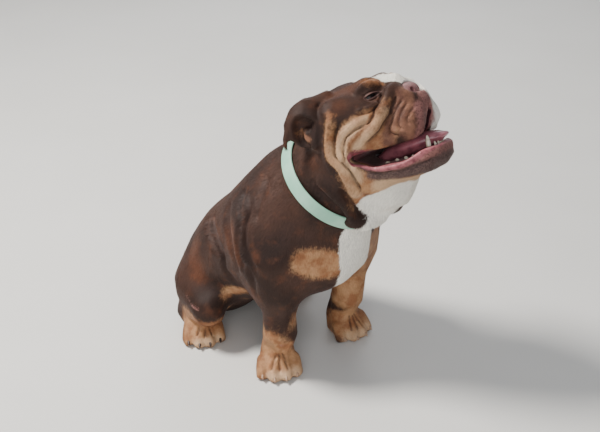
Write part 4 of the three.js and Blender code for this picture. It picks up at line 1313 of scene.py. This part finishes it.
nearest_face = np.array([light_faces.find_nearest(root)[2] for root in root_places])
a, b, c = (light_points[light_corners[nearest_face, k]] for k in range(3))
normal = np.cross(b - a, c - a)
area = np.maximum((normal * normal).sum(1), 1e-20)
second = np.clip((np.cross(roots - a, c - a) * normal).sum(1) / area, 0, 1)
third = np.clip((np.cross(b - a, roots - a) * normal).sum(1) / area, 0, 1)
first = np.clip(1 - second - third, 0, 1)
weights = np.stack([first, second, third], axis=1)
weights /= weights.sum(1, keepdims=True)
root_map = (light_map[nearest_face] * weights[..., None]).sum(1)
bpy.data.objects.remove(light)
print("map from", root_map.min(0).round(3), "to", root_map.max(0).round(3))

# %% Build the coat in pieces
PATCH_HALF = 0.0015  # half the width of a tuft's patch, as a share of the map
PATCH = np.array([(-1, -1), (1, -1), (0.9, 0.2), (-0.9, 0.2), (0, 1)]) * PATCH_HALF
TUFT_CORNERS = np.array([0, 1, 2, 0, 2, 3, 3, 2, 4])  # three triangles on the five points
coat_look = coat_finish("coat finish", False)


def coat_piece(name, chosen):
    count = len(chosen)
    start = np.arange(count)[:, None] * 5
    mesh = bpy.data.meshes.new(name)
    mesh.vertices.add(count * 5)
    mesh.vertices.foreach_set("co", tuft_points[chosen].astype(np.float32).ravel())
    loops = start + TUFT_CORNERS
    mesh.loops.add(count * 9)
    mesh.loops.foreach_set("vertex_index", loops.astype(np.int32).ravel())
    mesh.polygons.add(count * 3)
    mesh.polygons.foreach_set("loop_start", np.arange(count * 3, dtype=np.int32) * 3)
    mesh.update(calc_edges=True)
    mesh.shade_smooth()
    layer = mesh.uv_layers.new(name="OFBake")
    patch = (root_map[chosen][:, None] + PATCH[TUFT_CORNERS]) * 0.99 + 0.005
    layer.data.foreach_set("uv", patch.astype(np.float32).ravel())
    give(mesh, {key: np.repeat(value[chosen], 5) for key, value in tuft_values.items()})
    piece = placed(name, mesh)
    mesh.materials.append(coat_look)
    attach(piece, "root")


SKULL_REACH = 0.13  # metres around the skull's middle
SKULL_BACK = -120  # how far back the head's coat reaches, in the head's frame
FEET_TOP, FEET_INNER = 0.10, 0.045  # how high the feet reach and where their inner side lies
LARGEST = 65_000  # tufts in a piece

in_head = to_head(roots)
on_skull = np.linalg.norm(roots - skull_middle, axis=1) < SKULL_REACH
on_skull &= in_head[:, 1] > SKULL_BACK
on_feet = (roots[:, 2] < FEET_TOP) & ~on_skull & (np.abs(roots[:, 0]) > FEET_INNER)
head_order = np.flatnonzero(on_skull)
head_order = head_order[np.argsort(in_head[head_order, 1])]
body_order = np.flatnonzero(~on_skull & ~on_feet)
body_order = body_order[np.argsort(roots[body_order, 1])]
COAT_GROUPS = [
    ("coat_feet", np.flatnonzero(on_feet), "tan_coat"),
    ("coat_head", head_order, "coat"),
    ("coat_body", body_order, "coat"),
]
for label, order, slot_name in COAT_GROUPS:
    parts = int(np.ceil(len(order) / LARGEST))
    for number, chosen in enumerate(np.array_split(order, parts), 1):
        coat_piece(f"{label}_{number}", chosen)
    print(label, "in", parts, "pieces,", len(order) * 3, "triangles")

# %% [markdown]
# ## The eyes
# A dog's eye is almost all dark brown iris, with a wet, clear front that bulges a little.
# A plain ball would look like a bead, so the ball gets a cornea, and its finish a pupil,
# a rayed iris, a dark rim and a trace of white, by how far each point is turned from the gaze.

# %% Eyeballs
def ball_mesh(name, middle, radius, shape):
    """A ball whose points are moved by shape(direction), set around a middle."""
    work = bmesh.new()
    bmesh.ops.create_uvsphere(work, u_segments=64, v_segments=48, radius=1)
    for vertex in work.verts:
        vertex.co = Vector(middle) + Vector(shape(np.array(vertex.co.normalized()))) * radius
    mesh = bpy.data.meshes.new(name)
    work.to_mesh(mesh)
    work.free()
    mesh.shade_smooth()
    return placed(name, mesh)


def eye_finish():
    material, tree, shader = new_finish("eye finish", roughness=0.22, specular=0.12)
    turn = read(tree, "turned")
    rays = sums(tree, "MULTIPLY", noise(tree, 700, 2), 0.8)
    iris = mixed(tree, rays, colour(16, 9, 7), colour(38, 21, 12))
    base = mixed(tree, stepped(tree, turn, 0.20, 0.24), colour(4, 3, 3), iris)
    base = mixed(tree, stepped(tree, turn, 0.62, 0.70), base, colour(16, 9, 8))
    veined = stepped(tree, noise(tree, 500, 3), 0.5, 0.7)
    veins = mixed(tree, veined, colour(112, 90, 80), colour(92, 54, 48))
    base = mixed(tree, stepped(tree, turn, 0.76, 0.86), base, veins)
    tree.links.new(base, shader.inputs["Base Color"])
    shader.inputs["Coat Weight"].default_value = 0.12
    shader.inputs["Coat Roughness"].default_value = 0.05
    return material


eye_look = eye_finish()
for node, middle, sign in zip(("eye_right", "eye_left"), EYE_MIDDLES, (-1, 1)):
    gaze = head_direction(sign * 0.50, 0.86, 0.08)

    def bulge(direction, gaze=gaze):
        turned_away = math.acos(float(np.clip(direction @ gaze, -1, 1)))
        return direction * (1 + 0.05 * math.exp(-((turned_away / 0.45) ** 4)))

    eye = ball_mesh(node + "_ball", middle, (EYE_RADIUS - 0.1) * MM, bulge)
    directions = numbers(eye.data.vertices, "co", 3) - middle
    directions /= np.linalg.norm(directions, axis=1, keepdims=True)
    give(eye.data, {"turned": np.arccos(np.clip(directions @ gaze, -1, 1))})
    eye.data.materials.append(eye_look)
    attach(eye, "root")
    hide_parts(node)
print("two eyes of radius", EYE_RADIUS, "mm")

# %% [markdown]
# ## Nose
# The nose pad is bare, pebbled skin, liver pink on this dog, with two comma-shaped nostrils and
# a groove down the middle. It is made as the skin is, from a distance field, on a finer grid,
# because holes can simply be taken out of a field.

# %% Nose pad
def fine_field(node, cell, grow, blur):
    """A fine distance field of a node, softened and grown by some millimetres."""
    field, low = distances(*surface_of(node), cell=cell)
    field = np.pad(field, MARGIN, constant_values=float(field.max()))
    return blurred(field, blur) - grow * MM, low - MARGIN


def solid_from(name, field, low, cell, adaptivity=0.0):
    """A piece whose surface is where the field is 0."""
    grid = grid_of(field, low, cell, float(field.max()))
    points, triangles, quads = grid.convertToPolygons(isovalue=0.0, adaptivity=adaptivity)
    return face_outward(make_mesh(name, points, triangles.tolist() + quads.tolist()))


SMALL_CELL = 0.5 * MM  # for canines and claws
NOSE_CELL = 0.6 * MM
NOSE_CELLS = 120
NOSE_REACH = 0.036  # half the width of the nose's grid, in metres
nose_low = np.floor((from_head([PAD_MIDDLE])[0] - NOSE_REACH) / NOSE_CELL).astype(int)
nose_field = np.empty((NOSE_CELLS,) * 3, np.float32)
nose_cells = cell_points(nose_field, nose_low, NOSE_CELL)
nose_field[:] = (pad_distance(nose_cells) * MM).reshape(nose_field.shape)


def hollow_out(field, cells, places, thick):
    """Takes a round bar along the places, in the head's frame, out of a field."""
    away, place = along(cells, curve_through(from_head(places)))
    hole = away - np.interp(place, np.linspace(0, 1, len(thick)), thick) * MM
    return np.maximum(field, -hole.reshape(field.shape).astype(np.float32))


for sign in (-1, 1):
    turn_side = np.array([sign, 1, 1])
    hole = np.array([(10.5, 54, -11), (11.5, 44, -12), (12.5, 34, -12)]) * turn_side
    nose_field = hollow_out(nose_field, nose_cells, hole, (4.0, 4.0, 3.2))
    comma = np.array([(12, 46.5, -13), (17, 45, -16.5), (22, 41.5, -19), (26, 36, -19)]) * turn_side
    nose_field = hollow_out(nose_field, nose_cells, comma, (3.2, 2.3, 1.8, 1.2))
cleft = [(0, 42, 0), (0, 47, -10), (0, 47, -20), (0, 42, -30)]
nose_field = hollow_out(nose_field, nose_cells, cleft, (0.4, 1.4, 1.6, 1.4))
nose = solid_from("nose_pad", blurred(nose_field, 1.2), nose_low, NOSE_CELL, adaptivity=0.002)
nose_look, tree, shader = new_finish("nose finish", roughness=0.42, specular=0.45)
cells_of_skin = put(tree, "ShaderNodeTexVoronoi", feature="DISTANCE_TO_EDGE")
cells_of_skin.inputs["Scale"].default_value = 620
where = put(tree, "ShaderNodeTexCoord")
tree.links.new(where.outputs["Object"], cells_of_skin.inputs["Vector"])
pebble = stepped(tree, cells_of_skin.outputs["Distance"], 0.0, 0.25)
pink = stepped(tree, noise(tree, 90, 3), 0.35, 0.7)
base = mixed(tree, pink, colour(158, 108, 104), colour(124, 82, 82))
between = sums(tree, "MULTIPLY", sums(tree, "SUBTRACT", 1.0, pebble), 0.35)
base = mixed(tree, between, base, colour(70, 40, 40))
tree.links.new(base, shader.inputs["Base Color"])
bumped(tree, shader, pebble, 0.0005, 0.8)
nose.data.materials.append(nose_look)
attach(nose, "root")
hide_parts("nose")
print("nose", len(nose.data.polygons), "faces")

# %% [markdown]
# ## Tongue and teeth
# The tongue is a wet muscle with a groove along its middle and fine bumps all over. In the lower
# jaw small incisors stand between two canines, and cheek teeth behind them. Each of the small
# teeth is a rounded blunt cone, grown in one field with the others so that they are one piece.

# %% Tongue
TONGUE_CELL = 1.0 * MM
TONGUE_ROOM = 10  # further cells around the tongue's solid, for the parts added to it
tongue_field, tongue_low = fine_field("tongue", TONGUE_CELL, 0.0, 2.0)
tongue_field = np.pad(tongue_field, TONGUE_ROOM, constant_values=float(tongue_field.max()))
tongue_low = tongue_low - TONGUE_ROOM
tongue_cells = cell_points(tongue_field, tongue_low, TONGUE_CELL)


def mound(cells, middle, radii):
    """A flattened ball in the head's frame, as distances in metres."""
    local = (to_head(cells) - middle) / radii
    return (np.linalg.norm(local, axis=1) - 1) * min(radii) * MM


for middle, radii in (((0, 10, -86.5), (26, 52, 13)), ((4, 49, -88.5), (21, 17, 5.5))):
    raised = mound(tongue_cells, middle, radii).reshape(tongue_field.shape)
    tongue_field = np.minimum(tongue_field, raised.astype(np.float32))
TONGUE_GROOVE = [(0, -40, -78), (0, -10, -74), (0, 30, -75), (2, 62, -84)]
GROOVE_DEPTH, GROOVE_WIDTH = 3.4 * MM, 0.0042
away, place = along(tongue_cells, curve_through(from_head(TONGUE_GROOVE)))
groove = GROOVE_DEPTH * np.exp(-((away / GROOVE_WIDTH) ** 2)) * soft_step(1.0, 0.8, place)
tongue_field += groove.reshape(tongue_field.shape).astype(np.float32)
tongue = solid_from("tongue_flesh", blurred(tongue_field, 1.0), tongue_low, TONGUE_CELL)
tongue_look, tree, shader = new_finish("tongue finish", roughness=0.3)
TONGUE_PINK, TONGUE_RED = colour(164, 98, 106), colour(126, 70, 80)
mottled(tree, shader, (60, 0.35, 0.7), TONGUE_PINK, TONGUE_RED, (1100, 0.0005, 0.6))
shader.inputs["Coat Weight"].default_value = 0.35
shader.inputs["Coat Roughness"].default_value = 0.15
tongue.data.materials.append(tongue_look)
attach(tongue, "root")
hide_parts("tongue")
print("tongue", len(tongue.data.polygons), "faces")

# %% Teeth
tooth_look, tree, shader = new_finish("tooth finish", roughness=0.22)
IVORY, IVORY_DEEP = colour(224, 214, 194), colour(192, 176, 148)
mottled(tree, shader, (150, 0.4, 0.7), IVORY, IVORY_DEEP, (500, 0.0003, 0.3))
for side in SIDES:
    field, low = fine_field(f"canine_{side}", SMALL_CELL, 0.25, 1.2)
    canine = solid_from(f"canine_{side}_tooth", field, low, SMALL_CELL)
    canine.data.materials.append(tooth_look)
    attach(canine, "root")
    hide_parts(f"canine_{side}")

# Incisors and cheek teeth of the lower jaw: side, forward, up, then half width and height
LOWER_TEETH = [
    (3.0, 53, -96.5, 2.4, 4.2), (8.8, 52, -97, 2.6, 4.4), (14.8, 49, -97, 2.8, 4.8),
    (32, 17, -102, 3.0, 2.8), (35, 7, -101.5, 3.6, 3.6), (38, -6, -101, 4.2, 4.4),
    (41, -20, -99.5, 4.6, 3.8),
]
TOOTH_CELL = 0.7 * MM
TOOTH_REACH = 0.014  # each tooth lies within this of its foot, in metres
TOOTH_TAPER = 0.62  # how much narrower a tooth is at its tip, as a share
TOOTH_FLAT = 0.72  # its thickness as a share of its width
TOOTH_ROOT = 3  # how deep it goes into the gum
row = [spot for tooth in LOWER_TEETH for spot in from_head(both_sides([tooth[:3]]))]
row_low = np.floor((np.min(row, axis=0) - TOOTH_REACH) / TOOTH_CELL).astype(int)
row_high = np.ceil((np.max(row, axis=0) + TOOTH_REACH) / TOOTH_CELL).astype(int)
row_field = np.full(tuple(row_high - row_low), 0.006, np.float32)
tooth_cells = int(2 * TOOTH_REACH / TOOTH_CELL)
for side_place, forward, up, half_width, tall in LOWER_TEETH:
    for sign in (-1, 1):
        foot = (sign * side_place, forward, up)
        start = np.floor((from_head([foot])[0] - TOOTH_REACH) / TOOTH_CELL).astype(int) - row_low
        start = np.maximum(start, 0)
        there = tuple(slice(a, min(a + tooth_cells, n)) for a, n in zip(start, row_field.shape))
        part = row_field[there]
        local = to_head(cell_points(part, start + row_low, TOOTH_CELL)) - foot
        rise = np.clip(local[:, 2] / tall, 0, 1)
        slim = half_width * (1 - TOOTH_TAPER * rise**1.6)
        flat = TOOTH_FLAT * slim
        wide, deep = (slim, flat) if forward > 45 else (flat, slim)
        wall = (np.hypot(local[:, 0] / wide, local[:, 1] / deep) - 1) * flat
        distance = np.maximum.reduce([wall, local[:, 2] - tall, -TOOTH_ROOT - local[:, 2]]) * MM
        row_field[there] = np.minimum(part, distance.reshape(part.shape).astype(np.float32))
teeth = solid_from("lower_teeth", blurred(row_field, 0.9), row_low, TOOTH_CELL)
teeth.data.materials.append(tooth_look)
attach(teeth, "root")
print("teeth", len(teeth.data.polygons), "faces")

# %% [markdown]
# ## Claws
# Each claw is a short horn cone that curves down from its toe: pale on the forefeet, where it
# hardly shows in the fur, and dark brown on the hind feet.
# Its solid is already the right size and place, so only its surface is made smooth.

# %% Claws
def claw_finish(name, dark, pale):
    material, tree, shader = new_finish(name, roughness=0.36)
    mottled(tree, shader, (420, 0.35, 0.7), dark, pale, (900, 0.0003, 0.4))
    return material


claw_looks = {
    "fore": claw_finish("pale claw finish", colour(150, 116, 92), colour(176, 146, 118)),
    "hind": claw_finish("dark claw finish", colour(40, 28, 25), colour(82, 62, 54)),
}
for node in [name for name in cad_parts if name.startswith("claw")]:
    field, low = fine_field(node, SMALL_CELL, 0.0, 1.2)
    claw = solid_from(node + "_horn", field, low, SMALL_CELL, adaptivity=0.01)
    claw.data.materials.append(claw_looks[node.split("_")[1]])
    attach(claw, "root")
    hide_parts(node)
print("16 claws")

# %% [markdown]
# ## The collar
# The collar is a plain band of coated webbing, pale mint green. A torus could not follow the
# neck, which is no circle. Instead the inner radius of the solid is read at both edges for every
# angle, smoothed, and a flat section with rounded edges is swept through those radii.

# %% Collar band
def skinned(name, rings, closed):
    """A mesh over rings of points, each ring joined to the next; open ends get a cap."""
    count, around = rings.shape[:2]
    ids = np.arange(count * around).reshape(count, around)
    these, following = (ids, np.roll(ids, -1, axis=0)) if closed else (ids[:-1], ids[1:])
    quads = np.stack([these, np.roll(these, -1, 1), np.roll(following, -1, 1), following], axis=-1)
    faces = quads.reshape(-1, 4).tolist()
    if not closed:
        faces += [ids[0][::-1].tolist(), ids[-1].tolist()]
    return face_outward(make_mesh(name, rings.reshape(-1, 3), faces))


STRAP_HALF = 12.5  # half the width of the strap's solid, in millimetres
STRAP_SHARE = 0.82  # the band's width as a share of its solid's
SAME_ANGLE = 0.04  # points of the solid within this many radians count as one place
SMOOTHINGS = 40  # how often the radii are averaged with their neighbours
strap = to_collar(surface_of("collar")[0].astype(float))


def edge_radius(height, angles):
    """The strap's inner radius at one of its edges, in millimetres, for the given angles."""
    rim = strap[np.abs(strap[:, 2] - height) < 0.3]
    angle = np.arctan2(rim[:, 0], rim[:, 1])
    away = np.hypot(rim[:, 0], rim[:, 1])
    columns = np.round(angle / SAME_ANGLE)
    marks = np.unique(columns)
    inner = [away[columns == mark].min() for mark in marks]
    middles = [angle[columns == mark].mean() for mark in marks]
    radius = np.interp(angles, middles, inner, period=2 * math.pi)
    for _ in range(SMOOTHINGS):
        radius = (np.roll(radius, 1) + 2 * radius + np.roll(radius, -1)) / 4
    return radius


def strap_place(angle, low_radius, high_radius, out, height):
    radius = low_radius + (high_radius - low_radius) * (height / STRAP_HALF + 1) / 2 + out
    local = np.stack([radius * np.sin(angle), radius * np.cos(angle), height + 0 * radius], axis=-1)
    return collar_middle + local * MM @ COLLAR_TURN.T


# Out and up around the strap's section, in millimetres
STRAP_SECTION = [
    (0.4, -12.2), (0.1, -11.4), (0, -6), (0, 0), (0, 6), (0.1, 11.4), (0.4, 12.2), (1.0, 12.5),
    (2.0, 12.5), (2.7, 12.1), (3.0, 11.2), (3.1, 6), (3.15, 0), (3.1, -6), (3.0, -11.2),
    (2.7, -12.1), (2.0, -12.5), (1.0, -12.5),
]


def strap_rings(angles, low_radius, high_radius, raised=0.0, thin=1.0, slim=1.0, taper=1.0):
    """The strap's section at each angle; the last four values change where and how large it is."""
    rings = []
    for out, height in STRAP_SECTION:
        height = height * slim * STRAP_SHARE * taper
        rings.append(strap_place(angles, low_radius, high_radius, raised + out * thin, height))
    return np.stack(rings, axis=1)


turn_angles = np.linspace(-math.pi, math.pi, 300, endpoint=False)
low_edge = edge_radius(-STRAP_HALF, turn_angles)
high_edge = edge_radius(STRAP_HALF, turn_angles)
rings = strap_rings(turn_angles, low_edge, high_edge)
band = skinned("collar_band", rings, closed=True)

strap_look, tree, shader = new_finish("strap finish", roughness=0.42, specular=0.45)
MINT, MINT_PALE = colour(140, 190, 164), colour(162, 204, 180)
mottled(tree, shader, (22, 0.35, 0.7), MINT, MINT_PALE, (1500, 0.0002, 0.35))
band.data.materials.append(strap_look)
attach(band, "root")
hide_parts("collar")
narrowest, widest = low_edge.min().round(1), low_edge.max().round(1)
print("band", len(band.data.polygons), "faces, radius", narrowest, "to", widest, "mm")

# %% Free end of the strap
# The end that comes through the buckle lies over the band and has a rounded point
BUCKLE_ANGLE = math.radians(128)
FREE_STEPS, POINT_STEPS = 40, 9
free_angles = np.linspace(BUCKLE_ANGLE - 0.12, BUCKLE_ANGLE + 0.62, FREE_STEPS)
free_low = np.interp(free_angles, turn_angles, low_edge, period=2 * math.pi)
free_high = np.interp(free_angles, turn_angles, high_edge, period=2 * math.pi)
in_point = np.clip((np.arange(FREE_STEPS) - FREE_STEPS + POINT_STEPS) / POINT_STEPS, 0, 1)
taper = np.sqrt(np.clip(1 - in_point**2, 0.02, 1))
rings = strap_rings(free_angles, free_low, free_high, raised=3.1, thin=0.85, slim=0.96, taper=taper)
free_end = skinned("collar_free_end", rings, closed=False)
free_end.data.materials.append(strap_look)
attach(free_end, "root")

# %% Buckle and ring
BAR_SIDES = 14


def bar(path, normal, radius, flat=1.0, closed=True):
    """Rings of points around a path in one plane; the bar is flattened along the normal."""
    if closed:
        following, before = np.roll(path, -1, axis=0), np.roll(path, 1, axis=0)
    else:
        following = np.vstack([path[1:], 2 * path[-1] - path[-2]])
        before = np.vstack([2 * path[0] - path[1], path[:-1]])
    tangent = following - before
    tangent /= np.linalg.norm(tangent, axis=1, keepdims=True)
    outward = np.cross(tangent, normal)
    around = np.linspace(0, 2 * math.pi, BAR_SIDES, endpoint=False)
    ring = outward[:, None] * np.cos(around)[:, None] + normal * (flat * np.sin(around))[:, None]
    return path[:, None] + ring * radius


BUCKLE_OUT = 4.6  # how far the buckle's middle lies outside the strap's inner face
low_here = float(np.interp(BUCKLE_ANGLE, turn_angles, low_edge))
high_here = float(np.interp(BUCKLE_ANGLE, turn_angles, high_edge))
buckle_low = strap_place(BUCKLE_ANGLE, low_here, high_here, BUCKLE_OUT, -STRAP_HALF)
buckle_high = strap_place(BUCKLE_ANGLE, low_here, high_here, BUCKLE_OUT, STRAP_HALF)
upward = (buckle_high - buckle_low) / np.linalg.norm(buckle_high - buckle_low)
sine, cosine = math.sin(BUCKLE_ANGLE), math.cos(BUCKLE_ANGLE)
onward = COLLAR_TURN @ np.array([cosine, -sine, 0])
outward = np.cross(onward, upward)
outward *= np.sign(outward @ (COLLAR_TURN @ np.array([sine, cosine, 0])))
buckle_middle = (buckle_low + buckle_high) / 2


def buckle_place(along_strap, out, up):
    """Places given along the strap, outward and up from the buckle's middle, in millimetres."""
    local = np.stack(np.broadcast_arrays(along_strap, out, up), axis=-1)
    return buckle_middle + local @ np.stack([onward, outward, upward]) * MM


def squared(value):
    """Makes a circle's sine or cosine that of a square with round corners."""
    return np.sign(value) * np.abs(value) ** 0.5


corner_turns = np.linspace(0, 2 * math.pi, 72, endpoint=False)
frame_wide, frame_high = 15 * squared(np.cos(corner_turns)), 16 * squared(np.sin(corner_turns))
bar_path = buckle_place(0, -0.6, np.linspace(-15, 15, 16))
pin_path = buckle_place(np.linspace(0, 15.5, 16), np.linspace(1.0, 2.4, 16), 0)
buckle_parts = {
    "buckle_frame": bar(buckle_place(frame_wide, 0.3, frame_high), outward, 0.0022, flat=0.75),
    "buckle_bar": bar(bar_path, onward, 0.0014, closed=False),
    "buckle_pin": bar(pin_path, upward, 0.0013, closed=False),
}
metal_look, tree, shader = new_finish("metal finish", roughness=0.28)
shader.inputs["Metallic"].default_value = 1.0
STEEL, STEEL_DULL = colour(206, 206, 208), colour(168, 167, 166)
mottled(tree, shader, (180, 0.4, 0.75), STEEL, STEEL_DULL, (1200, 0.0001, 0.3))
for name, rings in buckle_parts.items():
    is_frame = name == "buckle_frame"
    piece = skinned(name, rings, closed=is_frame)
    piece.data.materials.append(metal_look)
    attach(piece, "root")
    if is_frame:
        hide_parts("collar_buckle")

ring_middle = middle_of("collar_ring")
RING_RADIUS = 11 * MM
circle = np.linspace(0, 2 * math.pi, 64, endpoint=False)
circle = np.stack([np.cos(circle), np.sin(circle)], axis=1)
ring_path = ring_middle + circle @ np.stack([onward, upward]) * RING_RADIUS
ring_piece = skinned("hanging_ring", bar(ring_path, outward, 0.0017), closed=True)
ring_piece.data.materials.append(metal_look)
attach(ring_piece, "root")
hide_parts("collar_ring")
print("buckle at", buckle_middle.round(3), "ring at", ring_middle.round(3))

# %% [markdown]
# ## Floor and light
# The dog sits on a plain pale floor. The main lamp stands high behind the dog's right side, as
# the sun does in the photograph, so that it rakes over the folds. A weak one near the camera,
# a weaker one on the far side and a pale sky fill the shadows.

# %% Floor
floor_corners = np.array([(-6, -6, 0), (6, -6, 0), (6, 6, 0), (-6, 6, 0)], float)
floor = make_mesh("floor", floor_corners, [[0, 1, 2, 3]])
floor_look, tree, shader = new_finish("floor finish", roughness=0.8, specular=0.2)
tone = mixed(tree, noise(tree, 3, 2), colour(214, 212, 206), colour(224, 222, 217))
tree.links.new(tone, shader.inputs["Base Color"])
floor.data.materials.append(floor_look)

# %% Lights
LIT_SPOT = (0, 0, 0.25)


def lamp(name, place, size, power, tint):
    data = bpy.data.lights.new(name, "AREA")
    data.shape = "DISK"
    data.size = size
    data.energy = power
    data.color = tint
    light = placed(name, data)
    light.location = place
    light.rotation_euler = (Vector(LIT_SPOT) - Vector(place)).to_track_quat("-Z", "Y").to_euler()


lamp("key", (-0.95, 0.95, 2.3), 0.7, 120, (1, 0.97, 0.93))
lamp("fill", (-1.6, -1.6, 1.2), 1.8, 24, (0.97, 0.98, 1))
lamp("rim", (1.6, 1.4, 1.4), 1.2, 14, (0.93, 0.96, 1))
world = bpy.data.worlds.new("sky")
bpy.context.scene.world = world
world.use_nodes = True
sky = world.node_tree.nodes["Background"]
sky.inputs["Color"].default_value = (0.9, 0.93, 1.0, 1)
sky.inputs["Strength"].default_value = 0.42
print("three lamps and a sky")
